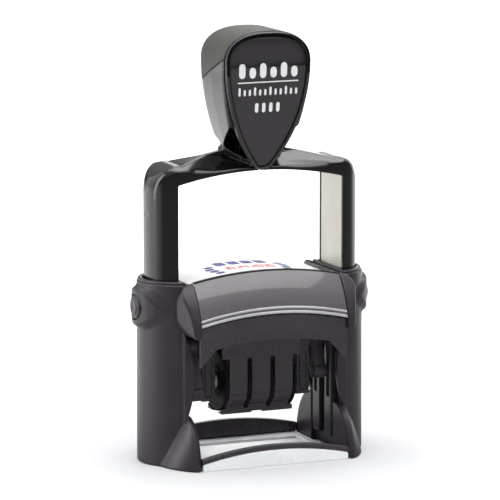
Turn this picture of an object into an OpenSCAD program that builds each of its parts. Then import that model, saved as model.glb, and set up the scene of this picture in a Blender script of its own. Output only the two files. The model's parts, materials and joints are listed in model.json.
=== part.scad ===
// Self-inking rotary date stamp: a sprung hoop handle drives a carriage that
// turns over on its way down from the ink pads to the paper.
// Millimetres, +Z up, the user faces -Y. The origin is the centre of the base
// on the paper. Every node stands alone and keeps its place in the assembly.

/* [Housing] */
// Distance from the centre to the inner face of each column
window_half = 31.5; // [31.3:0.1:32.3]
// Radius of the round outer side of each column
column_r = 15.5; // [15.4:0.1:16]
// Height of the columns without their collars
column_h = 67.8; // [67.4:0.1:67.9]
// Height of the four feet
foot_h = 19; // [17:0.5:21]
// Depth from the centre to the front of the feet
foot_y = 25.5; // [25.2:0.1:26.5]

/* [Stroke] */
// Distance from the carriage's turning axis to the printing face
die_r = 7.5; // [7.4:0.1:7.5]
// Travel of the handle from rest to the paper
stroke = 35; // [34.8:0.1:35]
// Gap between the die and the pads at rest
pad_gap = 0.2; // [0.2:0.05:0.4]

/* [Top cover] */
// Radius of the arch seen from the front
arch_r = 137; // [136.8:0.1:137.2]
// Wall of the clear cover
cover_wall = 1.2; // [0.8:0.1:1.3]

/* [Handle] */
// Radius of the round outer side of each leg
leg_r = 11.3; // [11:0.1:11.5]
// Height of the hoop's underside at its centre
hoop_under_z = 108; // [108:0.5:109]
// Width of the steel strips
steel_w = 18.8; // [17:0.2:18.8]
// Half width of the knob at its widest
knob_w = 17.3; // [17:0.1:18]
// Height of the top of the knob
knob_top_z = 160; // [160:0.5:162]

/* [Dater] */
// Height of the setting wheels' axle at rest
axle_z = 28.6; // [28.4:0.1:28.8]
// Radius of the setting wheels over their knurl
wheel_r = 11.6; // [11.3:0.1:11.8]
// Number of knurls on each setting wheel
knurls = 40; // [28:4:48]

/* [Shown] */
// Which piece is drawn

/* [Hidden] */
$fn = 64;
hull_fn = 32;
arch_fn = 480;           // fine steps for the long arches
touch = 0.05;            // assembly gap between glued or clipped pieces
over = 1;                // how far a cutter runs past the face that it cuts
wide = 30;               // half length of a cutter that clears the whole piece

satin = [0.27, 0.24, 0.28];
gloss = [0.06, 0.06, 0.07];
soft_grey = [0.29, 0.29, 0.27];
smoke = [0.42, 0.38, 0.41, 0.75];
clear = [0.92, 0.94, 0.95, 0.4];
steel = [0.86, 0.84, 0.80];
white = [0.95, 0.95, 0.94];
ink_blue = [0.10, 0.16, 0.55];
ink_red = [0.75, 0.12, 0.10];
rubber = [0.80, 0.77, 0.72];
grey = [0.62, 0.61, 0.62];

axis_z = stroke + die_r;             // the carriage's turning axis at rest
die_z = axis_z + die_r;              // printing face at rest, facing up
pad_z = die_z + pad_gap;             // face of the ink pads

// Housing stations
column_x = window_half - 2.6;        // centre of the column's round side
pocket_r = 11.6;
pocket_x = window_half - 0.9;        // centre of the leg and of its pocket
pocket_flat = window_half + 1;       // inner wall of the pocket
pocket_floor = 3;
guide_x = window_half - 2.3;         // inner face of guides, ribs and feet
slot_half = 2.25;
guide_half = 8.5;
guide_z = [5, 45.5];
button_z = 58.5;
button_r = 4.7;
button_end = column_x + column_r + 2.5;
boss_half_h = 7.35;
boss_half_y = 13;
boss_bulge_r = 13.9;
gusset_z = [18, 48];
gusset_bulge = 3;
gusset_y = [13.5, 16];
foot_reach = 12.8;       // how far the foot's curved top runs from front to back
foot_back_y = 10;
foot_out = window_half + 7.5;
collar_h = 1.1;

// Rails and base frame
rail_y = foot_y - 0.4;
rail_wall = 1.1;
rail_end_z = 4.5;
rail_mid_z = 8;
rail_drop = 2;
rail_bottom = 1.2;
frame_plate = 1;
frame_half_x = guide_x - 0.2;
frame_open = [26, 16.6];

// Arched top: pieces of revolution about an axis along Y, far below
arch_z = 71.6 - arch_r;
top_half_y = 15.5;
skirt_half_y = 24;
skirt_r = arch_r - 15;
skirt_curve = 30;
cover_half = guide_x - 0.2;
bead_r = 0.8;
card_t = 0.3;
roof_r = arch_r - 1.7;
roof_wall = 1.5;
rib_proud = 0.6;
rib_depth = 4.2;
bracket_z = 49;
grip_r = [112.3, 120.8];
grip_y = 22.6;
grip_wall = 1.3;
wing_x = 21.5;
wing_z = 38;
ledge_top = pad_z - touch;
ledge_y = 19.5;
end_wall_z = 57;         // lower edge of the end walls, in front of the ledges

// Handle
leg_flat = window_half + 1.2;
steel_x = [window_half + 1.4, window_half + 3];
steel_bottom = 38.5;
leg_bottom = 52;
under_r = 135.7;
under_z = hoop_under_z - under_r;
shoulder_r = 11;
shoulder_z = 100;
neck_z = 114.9;
neck_half = 11.8;
leg_wall = 1.8;
web_z = [66, 67.6];
leg_cavity_top = 98;
knob_wide_z = 148;
knob_side_r = 85;
knob_front_y = 17;
knob_front_r = 170;
knob_front_z = 152;
knob_back_y = 5;         // where the crown meets the top, behind the centre
knob_corner = 4;
knob_rear_corner = 9;
cap_wall = 2.2;
part_front = [-15, 150];
part_back = [7, 140.6];
badge_w = 15.4;
badge_top = 158.3;
badge_tip = 109.4;
badge_tip_half = 1.7;
crown_power = 2.35;      // superellipse power of the crown and of the badge
badge_t = 1.2;
bezel_w = 1.1;
pin_r = 1.8;
pin_in = window_half - 5.9;
bush_z = [39, 50];
bush_r = pocket_r - 0.08;
spring_x = window_half + 5.85;
spring_r = 2.1;
spring_wire = 0.8;
spring_turns = 10;
spring_way = 2.9;        // half width of the way that the shoes leave for the spring

// Carriage and dater
plate_half = [24.5, 14];
plate_z = [die_z - 3, die_z - 1];
die_half = [22, 12.4];
date_window = [13, 2.9];
flange_half = [24.8, 13];
flange_z = [die_z - 5.4, die_z - 3];
band_gap_y = 6.5;        // half depth of the opening for the bands
cheek_x = [15.8, 21.7];
cheek_half_y = 5.7;
cheek_bottom = 21.8;
arm_x = [22.4, 27.6];
arm_half = [3.4, 2.1];   // half width of the arm at the hub and at the cam pin
hub_r = 4.4;
hub_out = window_half - 2.9;
cam_left = [-8, 25.5];    // (y, z) of the cam pins
cam_right = [-6.5, 30.2];
cam_pin_r = 1.2;
cam_boss_r = 2.6;
axle_r = 1.5;
wheel_t = 1.2;
drum_r = 7.15;
band_in_r = 7.2;
band_t = 0.9;
char_h = 0.9;
band_top = die_z - char_h;
nose_half = 2.3;
nose_in_half = 1.55;
anvil_half = [2.2, 1.8, 1.4];        // half depths at the bar's foot, its top and the nose
anvil_h = 4;
guard_r = 11;
guard_wall = 1.2;
guard_half = 15.7;
guard_slot = 1.8;
guard_slot_top = 38.2;
guard_foot_z = 16.6;
guard_foot_y = [1.6, 5];
guard_foot_h = 2.3;
pad_half = [24, 13.5];
red_half = [13, 3];
pad_t = 1.8;
tray_back_y = 19;
// each band: [left edge, right edge, wheel centre, number of character pads]
month = [-12.5, -5.5, -13.6, 12];
tens = [-3.8, -0.3, -4.6, 10];
units = [0.3, 3.8, 4.6, 10];
year = [5.5, 12.5, 13.6, 12];

// Extrudes a profile drawn in (y, z) along X.
module along_x(x0, x1) {
    translate([x0, 0, 0])
        rotate([90, 0, 90])
            linear_extrude(height = x1 - x0)
                children();
}

// Extrudes a profile drawn in (x, z) along Y.
module along_y(y0, y1) {
    translate([0, y1, 0])
        rotate([90, 0, 0])
            linear_extrude(height = y1 - y0)
                children();
}

// Extrudes a profile drawn in (x, y) along Z.
module along_z(z0, z1) {
    translate([0, 0, z0])
        linear_extrude(height = z1 - z0)
            children();
}

module box(low, high) {
    translate(low)
        cube(high - low);
}

module rod_x(x0, x1, y, z, r) {
    along_x(x0, x1)
        translate([y, z])
            circle(r = r);
}

module both_sides() {
    children();
    mirror([1, 0, 0])
        children();
}

module front_and_rear() {
    children();
    mirror([0, 1, 0])
        children();
}

// ---------------------------------------------------------------- housing

module column_plan(r) {
    intersection() {
        translate([column_x, 0])
            circle(r = r);
        translate([window_half, -2 * r])
            square([2 * r, 4 * r]);
    }
}

module pocket_plan(r, flat) {
    intersection() {
        translate([pocket_x, 0])
            circle(r = r);
        translate([flat, -2 * r])
            square([2 * r, 4 * r]);
    }
}

// Eye-shaped fairing that carries the locking button.
module button_boss() {
    eye_r = (boss_half_y * boss_half_y + boss_half_h * boss_half_h) / (2 * boss_half_h);
    bulge_x = button_end - 0.6;
    intersection() {
        along_x(window_half + 1, bulge_x + over)
            intersection() {
                translate([0, button_z + boss_half_h - eye_r])
                    circle(r = eye_r);
                translate([0, button_z - boss_half_h + eye_r])
                    circle(r = eye_r);
            }
        translate([bulge_x - boss_bulge_r, 0, 0])
            cylinder(r = boss_bulge_r, h = column_h);
    }
}

// One front foot: a plan outline cut by a rounded side view.
module foot() {
    intersection() {
        along_z(0, foot_h)
            polygon([
                [guide_x, -foot_back_y], [guide_x, -foot_y + 0.8],
                [window_half - 0.5, -foot_y], [window_half + 1.5, -foot_y + 0.8],
                [foot_out, -16.5], [foot_out, -foot_back_y]
            ]);
        along_x(guide_x, foot_out)
            polygon([
                [0, 0], [0, foot_h],
                for (a = [0 : 6 : 90])
                    [-foot_y + foot_reach * (1 - sin(a)), foot_h * cos(a)]
            ]);
    }
}

// Leaf-shaped stiffener on the inner edge of a column.
module gusset() {
    half = (gusset_z[1] - gusset_z[0]) / 2;
    leaf_r = (half * half + gusset_bulge * gusset_bulge) / (2 * gusset_bulge);
    along_y(-gusset_y[1], -gusset_y[0])
        intersection() {
            translate([window_half - gusset_bulge + leaf_r, gusset_z[0] + half])
                circle(r = leaf_r);
            translate([window_half - gusset_bulge - over, gusset_z[0]])
                square([gusset_bulge + 2 * over, 2 * half]);
        }
}

module column() {
    difference() {
        union() {
            along_z(0, column_h)
                column_plan(column_r);
            button_boss();
            front_and_rear() {
                foot();
                gusset();
            }
        }
        along_z(pocket_floor, column_h + over)
            pocket_plan(pocket_r, pocket_flat);
        along_x(window_half - over, pocket_flat + over)
            translate([-slot_half, guide_z[0] - 0.2])
                square([2 * slot_half, axis_z - 2]);
        rod_x(pocket_x + pocket_r - over, button_end + over, 0, button_z, button_r + 0.1);
    }
}

module left_column() {
    color(satin)
        mirror([1, 0, 0])
            column();
}

module right_column() {
    color(satin)
        column();
}

module collar() {
    color(satin)
        along_z(column_h, column_h + collar_h)
            difference() {
                column_plan(column_r - 0.5);
                pocket_plan(pocket_r, pocket_flat);
            }
}

module collar_left() {
    mirror([1, 0, 0])
        collar();
}

module collar_right() {
    collar();
}

function sagitta_r(half, rise) = (half * half + rise * rise) / (2 * rise);

module rail_arch(drop) {
    r = sagitta_r(guide_x, rail_mid_z - rail_end_z);
    translate([0, rail_mid_z - drop - r])
        circle(r = r, $fn = 240);
}

module rail() {
    color(gloss)
        union() {
            along_y(-rail_y, -rail_y + rail_wall)
                intersection() {
                    difference() {
                        rail_arch(0);
                        rail_arch(rail_drop);
                    }
                    translate([-guide_x, rail_end_z - rail_drop - over])
                        square([2 * guide_x, rail_mid_z]);
                }
            along_y(-rail_y + rail_wall, -rail_y + 2 * rail_wall)
                intersection() {
                    rail_arch(0);
                    translate([-guide_x, rail_bottom])
                        square([2 * guide_x, rail_mid_z]);
                }
        }
}

module front_rail() {
    rail();
}

module rear_rail() {
    mirror([0, 1, 0])
        rail();
}

// Clear frame under the housing, which shows where the print will land.
module clear_base_frame() {
    color(clear)
        union() {
            difference() {
                box([-frame_half_x, -rail_y, 0], [frame_half_x, rail_y, frame_plate]);
                box([-frame_open[0], -frame_open[1], -over],
                    [frame_open[0], frame_open[1], frame_plate + over]);
            }
            front_and_rear()
                along_y(-rail_y, -rail_y + rail_wall - touch)
                    intersection() {
                        rail_arch(rail_drop + touch);
                        translate([-frame_half_x, 0])
                            square([2 * frame_half_x, rail_mid_z]);
                    }
        }
}

// A body of revolution about the arch's axis, trimmed to |x| between two limits.
// Its children are a profile drawn in (radius, y).
module arch(x0, x1) {
    sweep = 18;
    intersection() {
        translate([0, 0, arch_z])
            rotate([-90, 0, 0])
                rotate([0, 0, -90 - sweep])
                    rotate_extrude(angle = 2 * sweep, $fn = arch_fn)
                        children();
        box([x0, -2 * foot_y, 0], [x1, 2 * foot_y, column_h + 10]);
    }
}

// Centre of the skirt's curve, in (y, radius), from its upper and lower edges.
function skirt_centre() =
    let (
        p = [top_half_y, arch_r],
        q = [skirt_half_y, skirt_r],
        d = q - p,
        h = sqrt(skirt_curve * skirt_curve - (d * d) / 4)
    )
    (p + q) / 2 + h / norm(d) * [d[1], -d[0]];

// The cover's section, drawn in (radius, y), grown by g and cut at radius low.
module cover_section(g, low) {
    c = skirt_centre();
    intersection() {
        translate([c[1], c[0]])
            circle(r = skirt_curve + g);
        translate([c[1], -c[0]])
            circle(r = skirt_curve + g);
        translate([low, -2 * skirt_half_y])
            square([arch_r + g - low, 4 * skirt_half_y]);
    }
}

module index_cover() {
    color(smoke)
        union() {
            arch(-cover_half, cover_half)
                difference() {
                    cover_section(0, skirt_r);
                    cover_section(-cover_wall, skirt_r - over);
                }
            for (s = [-1, 1])
                arch(-cover_half, cover_half)
                    translate([skirt_r + bead_r - 0.2, s * (skirt_half_y - bead_r)])
                        circle(r = bead_r);
        }
}

module index_card() {
    color(white)
        arch(-cover_half + 0.6, cover_half - 0.6)
            translate([roof_r + touch, -top_half_y + 1.4])
                square([card_t, 2 * (top_half_y - 1.4)]);
}

// Hanging triangle at each end of the arch between z = wing_z and the arch.
module wings(y0, y1) {
    both_sides()
        along_y(y0, y1)
            polygon([
                [wing_x, 45.5], [guide_x - 0.6, wing_z], [guide_x - 0.1, wing_z],
                [guide_x - 0.1, 47]
            ]);
}

// Roof under the card, rear arch, end walls and the ledges for the pad tray.
module top_bridge() {
    inset = arch_r - roof_r;
    color(gloss)
        union() {
            arch(-guide_x, guide_x)
                difference() {
                    cover_section(-inset, skirt_r + 1);
                    cover_section(-inset - roof_wall, skirt_r);
                }
            arch(-guide_x, guide_x)
                translate([grip_r[0], skirt_half_y - inset - roof_wall - 0.6])
                    square([skirt_r + 2 - grip_r[0], roof_wall]);
            wings(skirt_half_y - inset - roof_wall - 0.6, skirt_half_y - inset - 0.6);
            both_sides()
                difference() {
                    arch(guide_x - 1.7, guide_x)
                        cover_section(-inset - roof_wall / 2, 100);
                    box([guide_x - 3, -wide, 0], [guide_x + over, wide, bracket_z]);
                    box([guide_x - 3, -wide, 0], [guide_x + over, -ledge_y, end_wall_z]);
                }
            both_sides()
                box([guide_x - 3, -ledge_y, bracket_z], [guide_x, ledge_y, ledge_top]);
        }
}

// Rib round the end of the cover, with a leaf-shaped lobe at front and rear.
module end_bracket() {
    lobe_r = sagitta_r(10, 4.5);
    color(satin)
        difference() {
            union() {
                difference() {
                    arch(guide_x, window_half)
                        cover_section(rib_proud, 100);
                    arch(guide_x - over, window_half + over)
                        cover_section(-rib_depth, 90);
                    box([0, -wide, 0], [window_half + over, wide, bracket_z]);
                }
                intersection() {
                    arch(window_half, window_half + 4.5)
                        cover_section(rib_proud, 90);
                    along_y(-wide, wide)
                        translate([window_half + 4.5 - lobe_r, bracket_z + 10])
                            circle(r = lobe_r);
                    front_and_rear()
                        along_z(bracket_z - over, column_h + 3)
                            polygon([
                                [window_half, -12], [window_half, -26.5],
                                [window_half + 5, -14], [window_half + 5, -12]
                            ]);
                }
            }
            along_z(bracket_z - 2 * over, column_h + 4)
                column_plan(column_r + touch);
        }
}

module end_bracket_left() {
    mirror([1, 0, 0])
        end_bracket();
}

module end_bracket_right() {
    end_bracket();
}

// Two ribs that steer the carriage's pivot pin, joined top and bottom.
module guide() {
    color(satin)
        difference() {
            box([guide_x, -guide_half, guide_z[0]], [window_half, guide_half, guide_z[1]]);
            box([guide_x - over, -slot_half, guide_z[0] - over],
                [window_half + over, slot_half, guide_z[1] - 1.1]);
            front_and_rear()
                box([guide_x - over, -6.9, 20], [guide_x + 0.8, -4.4, 40]);
        }
}

module guide_left() {
    mirror([1, 0, 0])
        guide();
}

module guide_right() {
    guide();
}

// Helical compression spring, standing on the pocket's floor.
module return_spring() {
    color(steel)
        translate([spring_x, 0, pocket_floor])
            linear_extrude(height = web_z[0] - pocket_floor, twist = -360 * spring_turns,
                           slices = 16 * spring_turns, $fn = 6)
                translate([spring_r, 0])
                    circle(r = spring_wire / 2, $fn = 6);
}

module return_spring_left() {
    mirror([1, 0, 0])
        return_spring();
}

module return_spring_right() {
    return_spring();
}

// ----------------------------------------------------------------- handle

// Region below the arched underside of the hoop, in (x, z).
module under_arch(half, grow, low) {
    intersection() {
        translate([0, under_z])
            circle(r = under_r + grow, $fn = 240);
        translate([-half, low])
            square([2 * half, hoop_under_z + 10 - low]);
    }
}

// The hoop's outer shape: rounded shoulders seen from the front, round legs
// seen from above.
module hoop_body() {
    sx = pocket_x + leg_r - shoulder_r;
    intersection() {
        union() {
            both_sides()
                along_y(-leg_r, leg_r)
                    translate([sx, shoulder_z])
                        circle(r = shoulder_r);
            along_y(-leg_r, leg_r)
                polygon([
                    [-sx - shoulder_r, leg_bottom], [-sx - shoulder_r, shoulder_z],
                    [-sx, shoulder_z + shoulder_r], [-neck_half, neck_z],
                    [neck_half, neck_z], [sx, shoulder_z + shoulder_r],
                    [sx + shoulder_r, shoulder_z], [sx + shoulder_r, leg_bottom]
                ]);
        }
        union() {
            both_sides()
                along_z(leg_bottom, neck_z)
                    translate([pocket_x, 0])
                        circle(r = leg_r);
            box([-pocket_x, -leg_r, leg_bottom], [pocket_x, leg_r, neck_z]);
        }
    }
}

module steel_outline() {
    difference() {
        under_arch(steel_x[1], steel_x[1] - leg_flat, steel_bottom);
        under_arch(steel_x[0], 0.2, steel_bottom - over);
    }
}

module hoop_shell() {
    color(gloss)
        difference() {
            hoop_body();
            along_y(-leg_r - over, leg_r + over)
                under_arch(leg_flat, 0, leg_bottom - over);
            along_y(-steel_w / 2 - touch, steel_w / 2 + touch)
                under_arch(steel_x[1] + touch, steel_x[1] - leg_flat + touch, leg_bottom - over);
            both_sides() {
                along_z(leg_bottom - over, web_z[0])
                    pocket_plan(leg_r - leg_wall, leg_flat);
                along_z(web_z[1], leg_cavity_top)
                    pocket_plan(leg_r - leg_wall, leg_flat);
            }
            badge_seat(bezel_w + touch, badge_t + touch);
        }
}

// Bent steel bar: two strips and the band under the hoop, drilled for the pins.
module steel_bracket() {
    color(steel)
        difference() {
            along_y(-steel_w / 2, steel_w / 2)
                steel_outline();
            rod_x(-steel_x[1] - over, steel_x[1] + over, 0, axis_z, pin_r + 0.02);
        }
}

// Share of full width or depth that is left at height z of the crown.
function crown(z, power) =
    pow(max(0, 1 - pow((z - knob_wide_z) / (knob_top_z - knob_wide_z), power)), 1 / power);

function knob_half(z, w) =
    z < knob_wide_z
        ? w - knob_side_r + sqrt(pow(knob_side_r, 2) - pow(z - knob_wide_z, 2))
        : w * crown(z, crown_power);

function knob_y(z) =
    knob_front_y - knob_front_r + sqrt(pow(knob_front_r, 2) - pow(z - knob_front_z, 2));

function knob_back(z) =
    z < knob_wide_z
        ? knob_y(z)
        : knob_back_y + (knob_front_y - knob_back_y) * crown(z, 2.2);

function knob_front(z) = z < knob_top_z - 2 ? knob_y(z) : knob_y(z) - pow(z - knob_top_z + 2, 2) / 2;

// Smooth teardrop body: one hull of rounded sections, shrunk by inset.
module knob_envelope(inset) {
    heights = [neck_z - 2, 118, 124, 130, 136, 142, 148, 151, 154, 156.5, 158.3, 159.4, 159.9];
    hull()
        for (z = heights) {
            half = max(0.4, knob_half(z, knob_w) - inset);
            corner = min(knob_corner, half * 0.8);
            rear_corner = min(knob_rear_corner, half * 0.9);
            front = knob_front(z) - inset;
            back = knob_back(z) - inset;
            for (s = [-1, 1]) {
                translate([s * (half - corner), corner - front, z - inset])
                    cylinder(r = corner, h = 0.05, $fn = hull_fn);
                translate([s * (half - rear_corner), back - rear_corner, z - inset])
                    cylinder(r = rear_corner, h = 0.05, $fn = hull_fn);
            }
        }
}

// Everything above the inclined seam between the cap and the core.
module above_seam(lift) {
    slope = (part_back[1] - part_front[1]) / (part_back[0] - part_front[0]);
    along_x(-wide, wide)
        polygon([
            [-wide, part_front[1] + slope * (-wide - part_front[0]) + lift],
            [wide, part_front[1] + slope * (wide - part_front[0]) + lift],
            [wide, knob_top_z + 15], [-wide, knob_top_z + 15]
        ]);
}

module knob_cap() {
    color(soft_grey)
        difference() {
            intersection() {
                knob_envelope(0);
                above_seam(0);
            }
            knob_envelope(cap_wall);
            badge_seat(bezel_w + touch, badge_t + touch);
        }
}

module knob_core() {
    color(gloss)
        difference() {
            union() {
                difference() {
                    knob_envelope(0);
                    above_seam(-touch);
                }
                knob_envelope(cap_wall + touch);
            }
            box([-wide, -wide, 0], [wide, wide, neck_z + touch]);
            badge_seat(bezel_w + touch, badge_t + touch);
        }
}

// Guitar-pick outline of the badge, in (x, z), grown by g.
function pick(g) =
    let (
        steps = 12,
        w = badge_w + g,
        h = badge_top - knob_wide_z + g,
        tip_half = badge_tip_half + 0.4 * g,
        low = knob_wide_z - badge_tip + g,
        r = ((w - tip_half) * (w - tip_half) + low * low) / (2 * (w - tip_half))
    )
    concat(
        [for (a = [0 : 6 : 180])
            [w * sign(cos(a)) * pow(abs(cos(a)), 2 / crown_power),
             knob_wide_z + h * pow(sin(a), 2 / crown_power)]],
        [for (i = [1 : steps]) let (d = low * i / steps)
            [-w + r - sqrt(r * r - d * d), knob_wide_z - d]],
        [for (i = [steps : -1 : 1]) let (d = low * i / steps)
            [w - r + sqrt(r * r - d * d), knob_wide_z - d]]
    );

// Solid in front of a surface that lies "deep" behind the knob's front face.
module ahead_of(deep) {
    difference() {
        box([-wide, -knob_front_y - 7, badge_tip - 6], [wide, 0, knob_top_z + 6]);
        along_x(-wide - over, wide + over)
            translate([knob_front_r - knob_front_y, knob_front_z])
                circle(r = knob_front_r - deep, $fn = 360);
    }
}

// The recess that takes the badge and its bezel.
module badge_seat(grow, deep) {
    intersection() {
        along_y(-knob_front_y - 7, 0)
            polygon(pick(grow));
        ahead_of(deep);
    }
}

// A pick-shaped plate whose faces follow the knob's front.
module pick_plate(grow, proud, thick) {
    difference() {
        badge_seat(grow, thick - proud);
        ahead_of(-proud);
    }
}

module knob_badge() {
    color(satin)
        pick_plate(-touch, -0.3, badge_t - 0.3);
}

module badge_bezel() {
    color(gloss)
        difference() {
            pick_plate(bezel_w, 0.3, badge_t + 0.3);
            badge_seat(0, badge_t + over);
        }
}

module pivot_pin() {
    color(steel)
        rod_x(pin_in, steel_x[1], 0, axis_z, pin_r);
}

module pivot_pin_left() {
    mirror([1, 0, 0])
        pivot_pin();
}

module pivot_pin_right() {
    pivot_pin();
}

// Plastic shoe at the foot of each steel strip, with a way through for the spring.
module slide_bush() {
    color(grey)
        difference() {
            along_z(bush_z[0], bush_z[1])
                pocket_plan(bush_r, steel_x[1] + touch);
            along_z(bush_z[0] - over, bush_z[1] + over)
                union() {
                    translate([spring_x, 0])
                        circle(r = spring_way);
                    translate([steel_x[1] - over, -spring_way])
                        square([spring_x - steel_x[1] + over, 2 * spring_way]);
                }
        }
}

module slide_bush_left() {
    mirror([1, 0, 0])
        slide_bush();
}

module slide_bush_right() {
    slide_bush();
}

// --------------------------------------------------------------- carriage

module carriage_side(cam) {
    difference() {
        union() {
            // cheek with a chamfered upper outer corner, which holds the axle
            along_y(-cheek_half_y, cheek_half_y)
                polygon([
                    [cheek_x[0], cheek_bottom], [cheek_x[1], cheek_bottom],
                    [cheek_x[1], 39], [arm_x[0] + 1, flange_z[0] + over],
                    [cheek_x[0], flange_z[0] + over]
                ]);
            // arm from the pivot hub down to the cam pin
            along_x(arm_x[0], arm_x[1])
                polygon([
                    [-arm_half[0], axis_z + 1], [arm_half[0], axis_z - 1],
                    [cam[0] + arm_half[1], cam[1] - 0.3],
                    [cam[0] - arm_half[1], cam[1] + 0.3]
                ]);
            rod_x(arm_x[0], arm_x[1], cam[0], cam[1], cam_boss_r);
            box([cheek_x[1] - over, -3, 36], [flange_half[0] - 0.6, 3, flange_z[0] + over]);
            rod_x(arm_x[0], hub_out, 0, axis_z, hub_r);
        }
        rod_x(pin_in - 0.4, hub_out + over, 0, axis_z, pin_r + 0.05);
        rod_x(0, cheek_x[1] - 0.8, 0, axle_z, axle_r + 0.02);
        rod_x(arm_x[1] - 3, arm_x[1] + over, cam[0], cam[1], cam_pin_r + 0.02);
    }
}

module carriage_frame() {
    color(gloss)
        union() {
            carriage_side(cam_right);
            mirror([1, 0, 0])
                carriage_side(cam_left);
            difference() {
                box([-flange_half[0], -flange_half[1], flange_z[0]],
                    [flange_half[0], flange_half[1], flange_z[1]]);
                box([-date_window[0] - 0.2, -band_gap_y, 0], [date_window[0] + 0.2, band_gap_y, die_z]);
            }
        }
}

module text_plate() {
    color(white)
        difference() {
            box([-plate_half[0], -plate_half[1], plate_z[0] + touch],
                [plate_half[0], plate_half[1], plate_z[1]]);
            box([-date_window[0], -date_window[1], 0],
                [date_window[0], date_window[1], die_z]);
        }
}

// Rubber with a raised frame, a heading bar and a footing bar.
module rubber_die() {
    base_z = plate_z[1];
    skin = 0.4;
    frame = [19, 11.6];
    line = 1;
    color(rubber)
        difference() {
            union() {
                box([-die_half[0], -die_half[1], base_z], [die_half[0], die_half[1], base_z + skin]);
                difference() {
                    box([-frame[0], -frame[1], base_z], [frame[0], frame[1], die_z]);
                    box([-frame[0] + line, -frame[1] + line, base_z + skin],
                        [frame[0] - line, frame[1] - line, die_z + over]);
                }
                box([-11, 6.2, base_z], [11, 8.6, die_z]);
                box([-7, -8.6, base_z], [7, -6.2, die_z]);
            }
            box([-date_window[0], -date_window[1], 0],
                [date_window[0], date_window[1], die_z + over]);
        }
}

// Point where the tangent from p meets a circle of radius r about c, on p's side.
function tangent_point(p, c, r) =
    let (d = p - c, a = atan2(d[1], d[0]) - acos(r / norm(d)))
    c + r * [cos(a), sin(a)];

// Solid teardrop round a band's drum, with a flat nose at the anvil.
module band_block(x0, x1, r, half, top) {
    t = tangent_point([half, top], [0, axle_z], r);
    rod_x(x0, x1, 0, axle_z, r);
    along_x(x0, x1)
        polygon([[half, top], t, [0, axle_z], [-t[0], t[1]], [-half, top]]);
}

// One printing band: a closed belt with raised character pads.
module band(b) {
    color(rubber)
        union() {
            difference() {
                band_block(b[0], b[1], band_in_r + band_t, nose_half, band_top);
                band_block(b[0] - over, b[1] + over, band_in_r, nose_in_half,
                           band_top - band_t);
            }
            box([b[0] + 0.2, -1.9, band_top - 0.2], [b[1] - 0.2, 1.9, die_z]);
            for (a = [200 : 140 / (b[3] - 4) : 340])
                along_x(b[0] + 0.2, b[1] - 0.2)
                    translate([0, axle_z])
                        rotate(a)
                            translate([band_in_r + band_t - 0.2, -0.8])
                                square([char_h, 1.6]);
        }
}

module month_band() {
    band(month);
}

module tens_band() {
    band(tens);
}

module units_band() {
    band(units);
}

module year_band() {
    band(year);
}

module anvil_section(low_half, low_z, top_half, top_z) {
    polygon([[-low_half, low_z], [low_half, low_z], [top_half, top_z], [-top_half, top_z]]);
}

// Bar that backs the bands, with a nose that rises through the date window.
module band_anvil() {
    color(gloss)
        union() {
            along_x(-cheek_x[0], cheek_x[0])
                anvil_section(anvil_half[0], flange_z[0] - anvil_h, anvil_half[1], flange_z[0] - touch);
            along_x(-date_window[0] + 2 * touch, date_window[0] - 2 * touch)
                anvil_section(anvil_half[1] - 0.1, flange_z[0] - over, anvil_half[2],
                              band_top - band_t - touch);
        }
}

// Finger guard in front of the wheels: flat above, rolled round the wheels below.
module guard() {
    color(gloss)
        difference() {
            union() {
                box([-guard_half, -guard_r, axle_z - 0.5],
                    [guard_half, -guard_r + guard_wall, flange_z[0]]);
                intersection() {
                    difference() {
                        rod_x(-guard_half, guard_half, 0, axle_z, guard_r);
                        rod_x(-guard_half - over, guard_half + over, 0, axle_z, guard_r - guard_wall);
                    }
                    box([-guard_half, -guard_r - over, guard_foot_z],
                        [guard_half, -guard_foot_y[0], axle_z]);
                }
                box([-guard_half, -guard_foot_y[1], guard_foot_z],
                    [guard_half, -guard_foot_y[0], guard_foot_z + guard_foot_h]);
            }
            for (b = [tens, units])
                box([b[2] - guard_slot / 2, -wide, 0], [b[2] + guard_slot / 2, 0, guard_slot_top]);
            both_sides()
                box([year[2] - guard_slot / 2, -wide, 0], [wide, 0, guard_slot_top]);
        }
}

module front_guard() {
    guard();
}

module rear_guard() {
    mirror([0, 1, 0])
        guard();
}

module wheel_axle() {
    color(grey)
        rod_x(-cheek_x[1] + 0.9, cheek_x[1] - 0.9, 0, axle_z, axle_r);
}

module cam_pin(cam) {
    color(steel)
        rod_x(arm_x[1] - 2.9, hub_out, cam[0], cam[1], cam_pin_r);
}

module cam_pin_left() {
    mirror([1, 0, 0])
        cam_pin(cam_left);
}

module cam_pin_right() {
    cam_pin(cam_right);
}

// Knurled disc with a drum beside it, bored for the axle.
module setting_wheel(b) {
    step = 360 / knurls;
    depth = 0.45;
    color(gloss)
        difference() {
            union() {
                along_x(b[2] - wheel_t / 2, b[2] + wheel_t / 2)
                    translate([0, axle_z])
                        polygon([for (i = [0 : knurls - 1]) each [
                            wheel_r * [cos((i - 0.15) * step), sin((i - 0.15) * step)],
                            wheel_r * [cos((i + 0.15) * step), sin((i + 0.15) * step)],
                            (wheel_r - depth) * [cos((i + 0.35) * step), sin((i + 0.35) * step)],
                            (wheel_r - depth) * [cos((i + 0.65) * step), sin((i + 0.65) * step)]
                        ]]);
                rod_x(min(b[0], b[2]), max(b[1], b[2]), 0, axle_z, drum_r);
            }
            rod_x(-wide, wide, 0, axle_z, axle_r + 0.05);
        }
}

module month_wheel() {
    setting_wheel(month);
}

module tens_wheel() {
    setting_wheel(tens);
}

module units_wheel() {
    setting_wheel(units);
}

module year_wheel() {
    setting_wheel(year);
}

// ------------------------------------------------- buttons and cartridge

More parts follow.
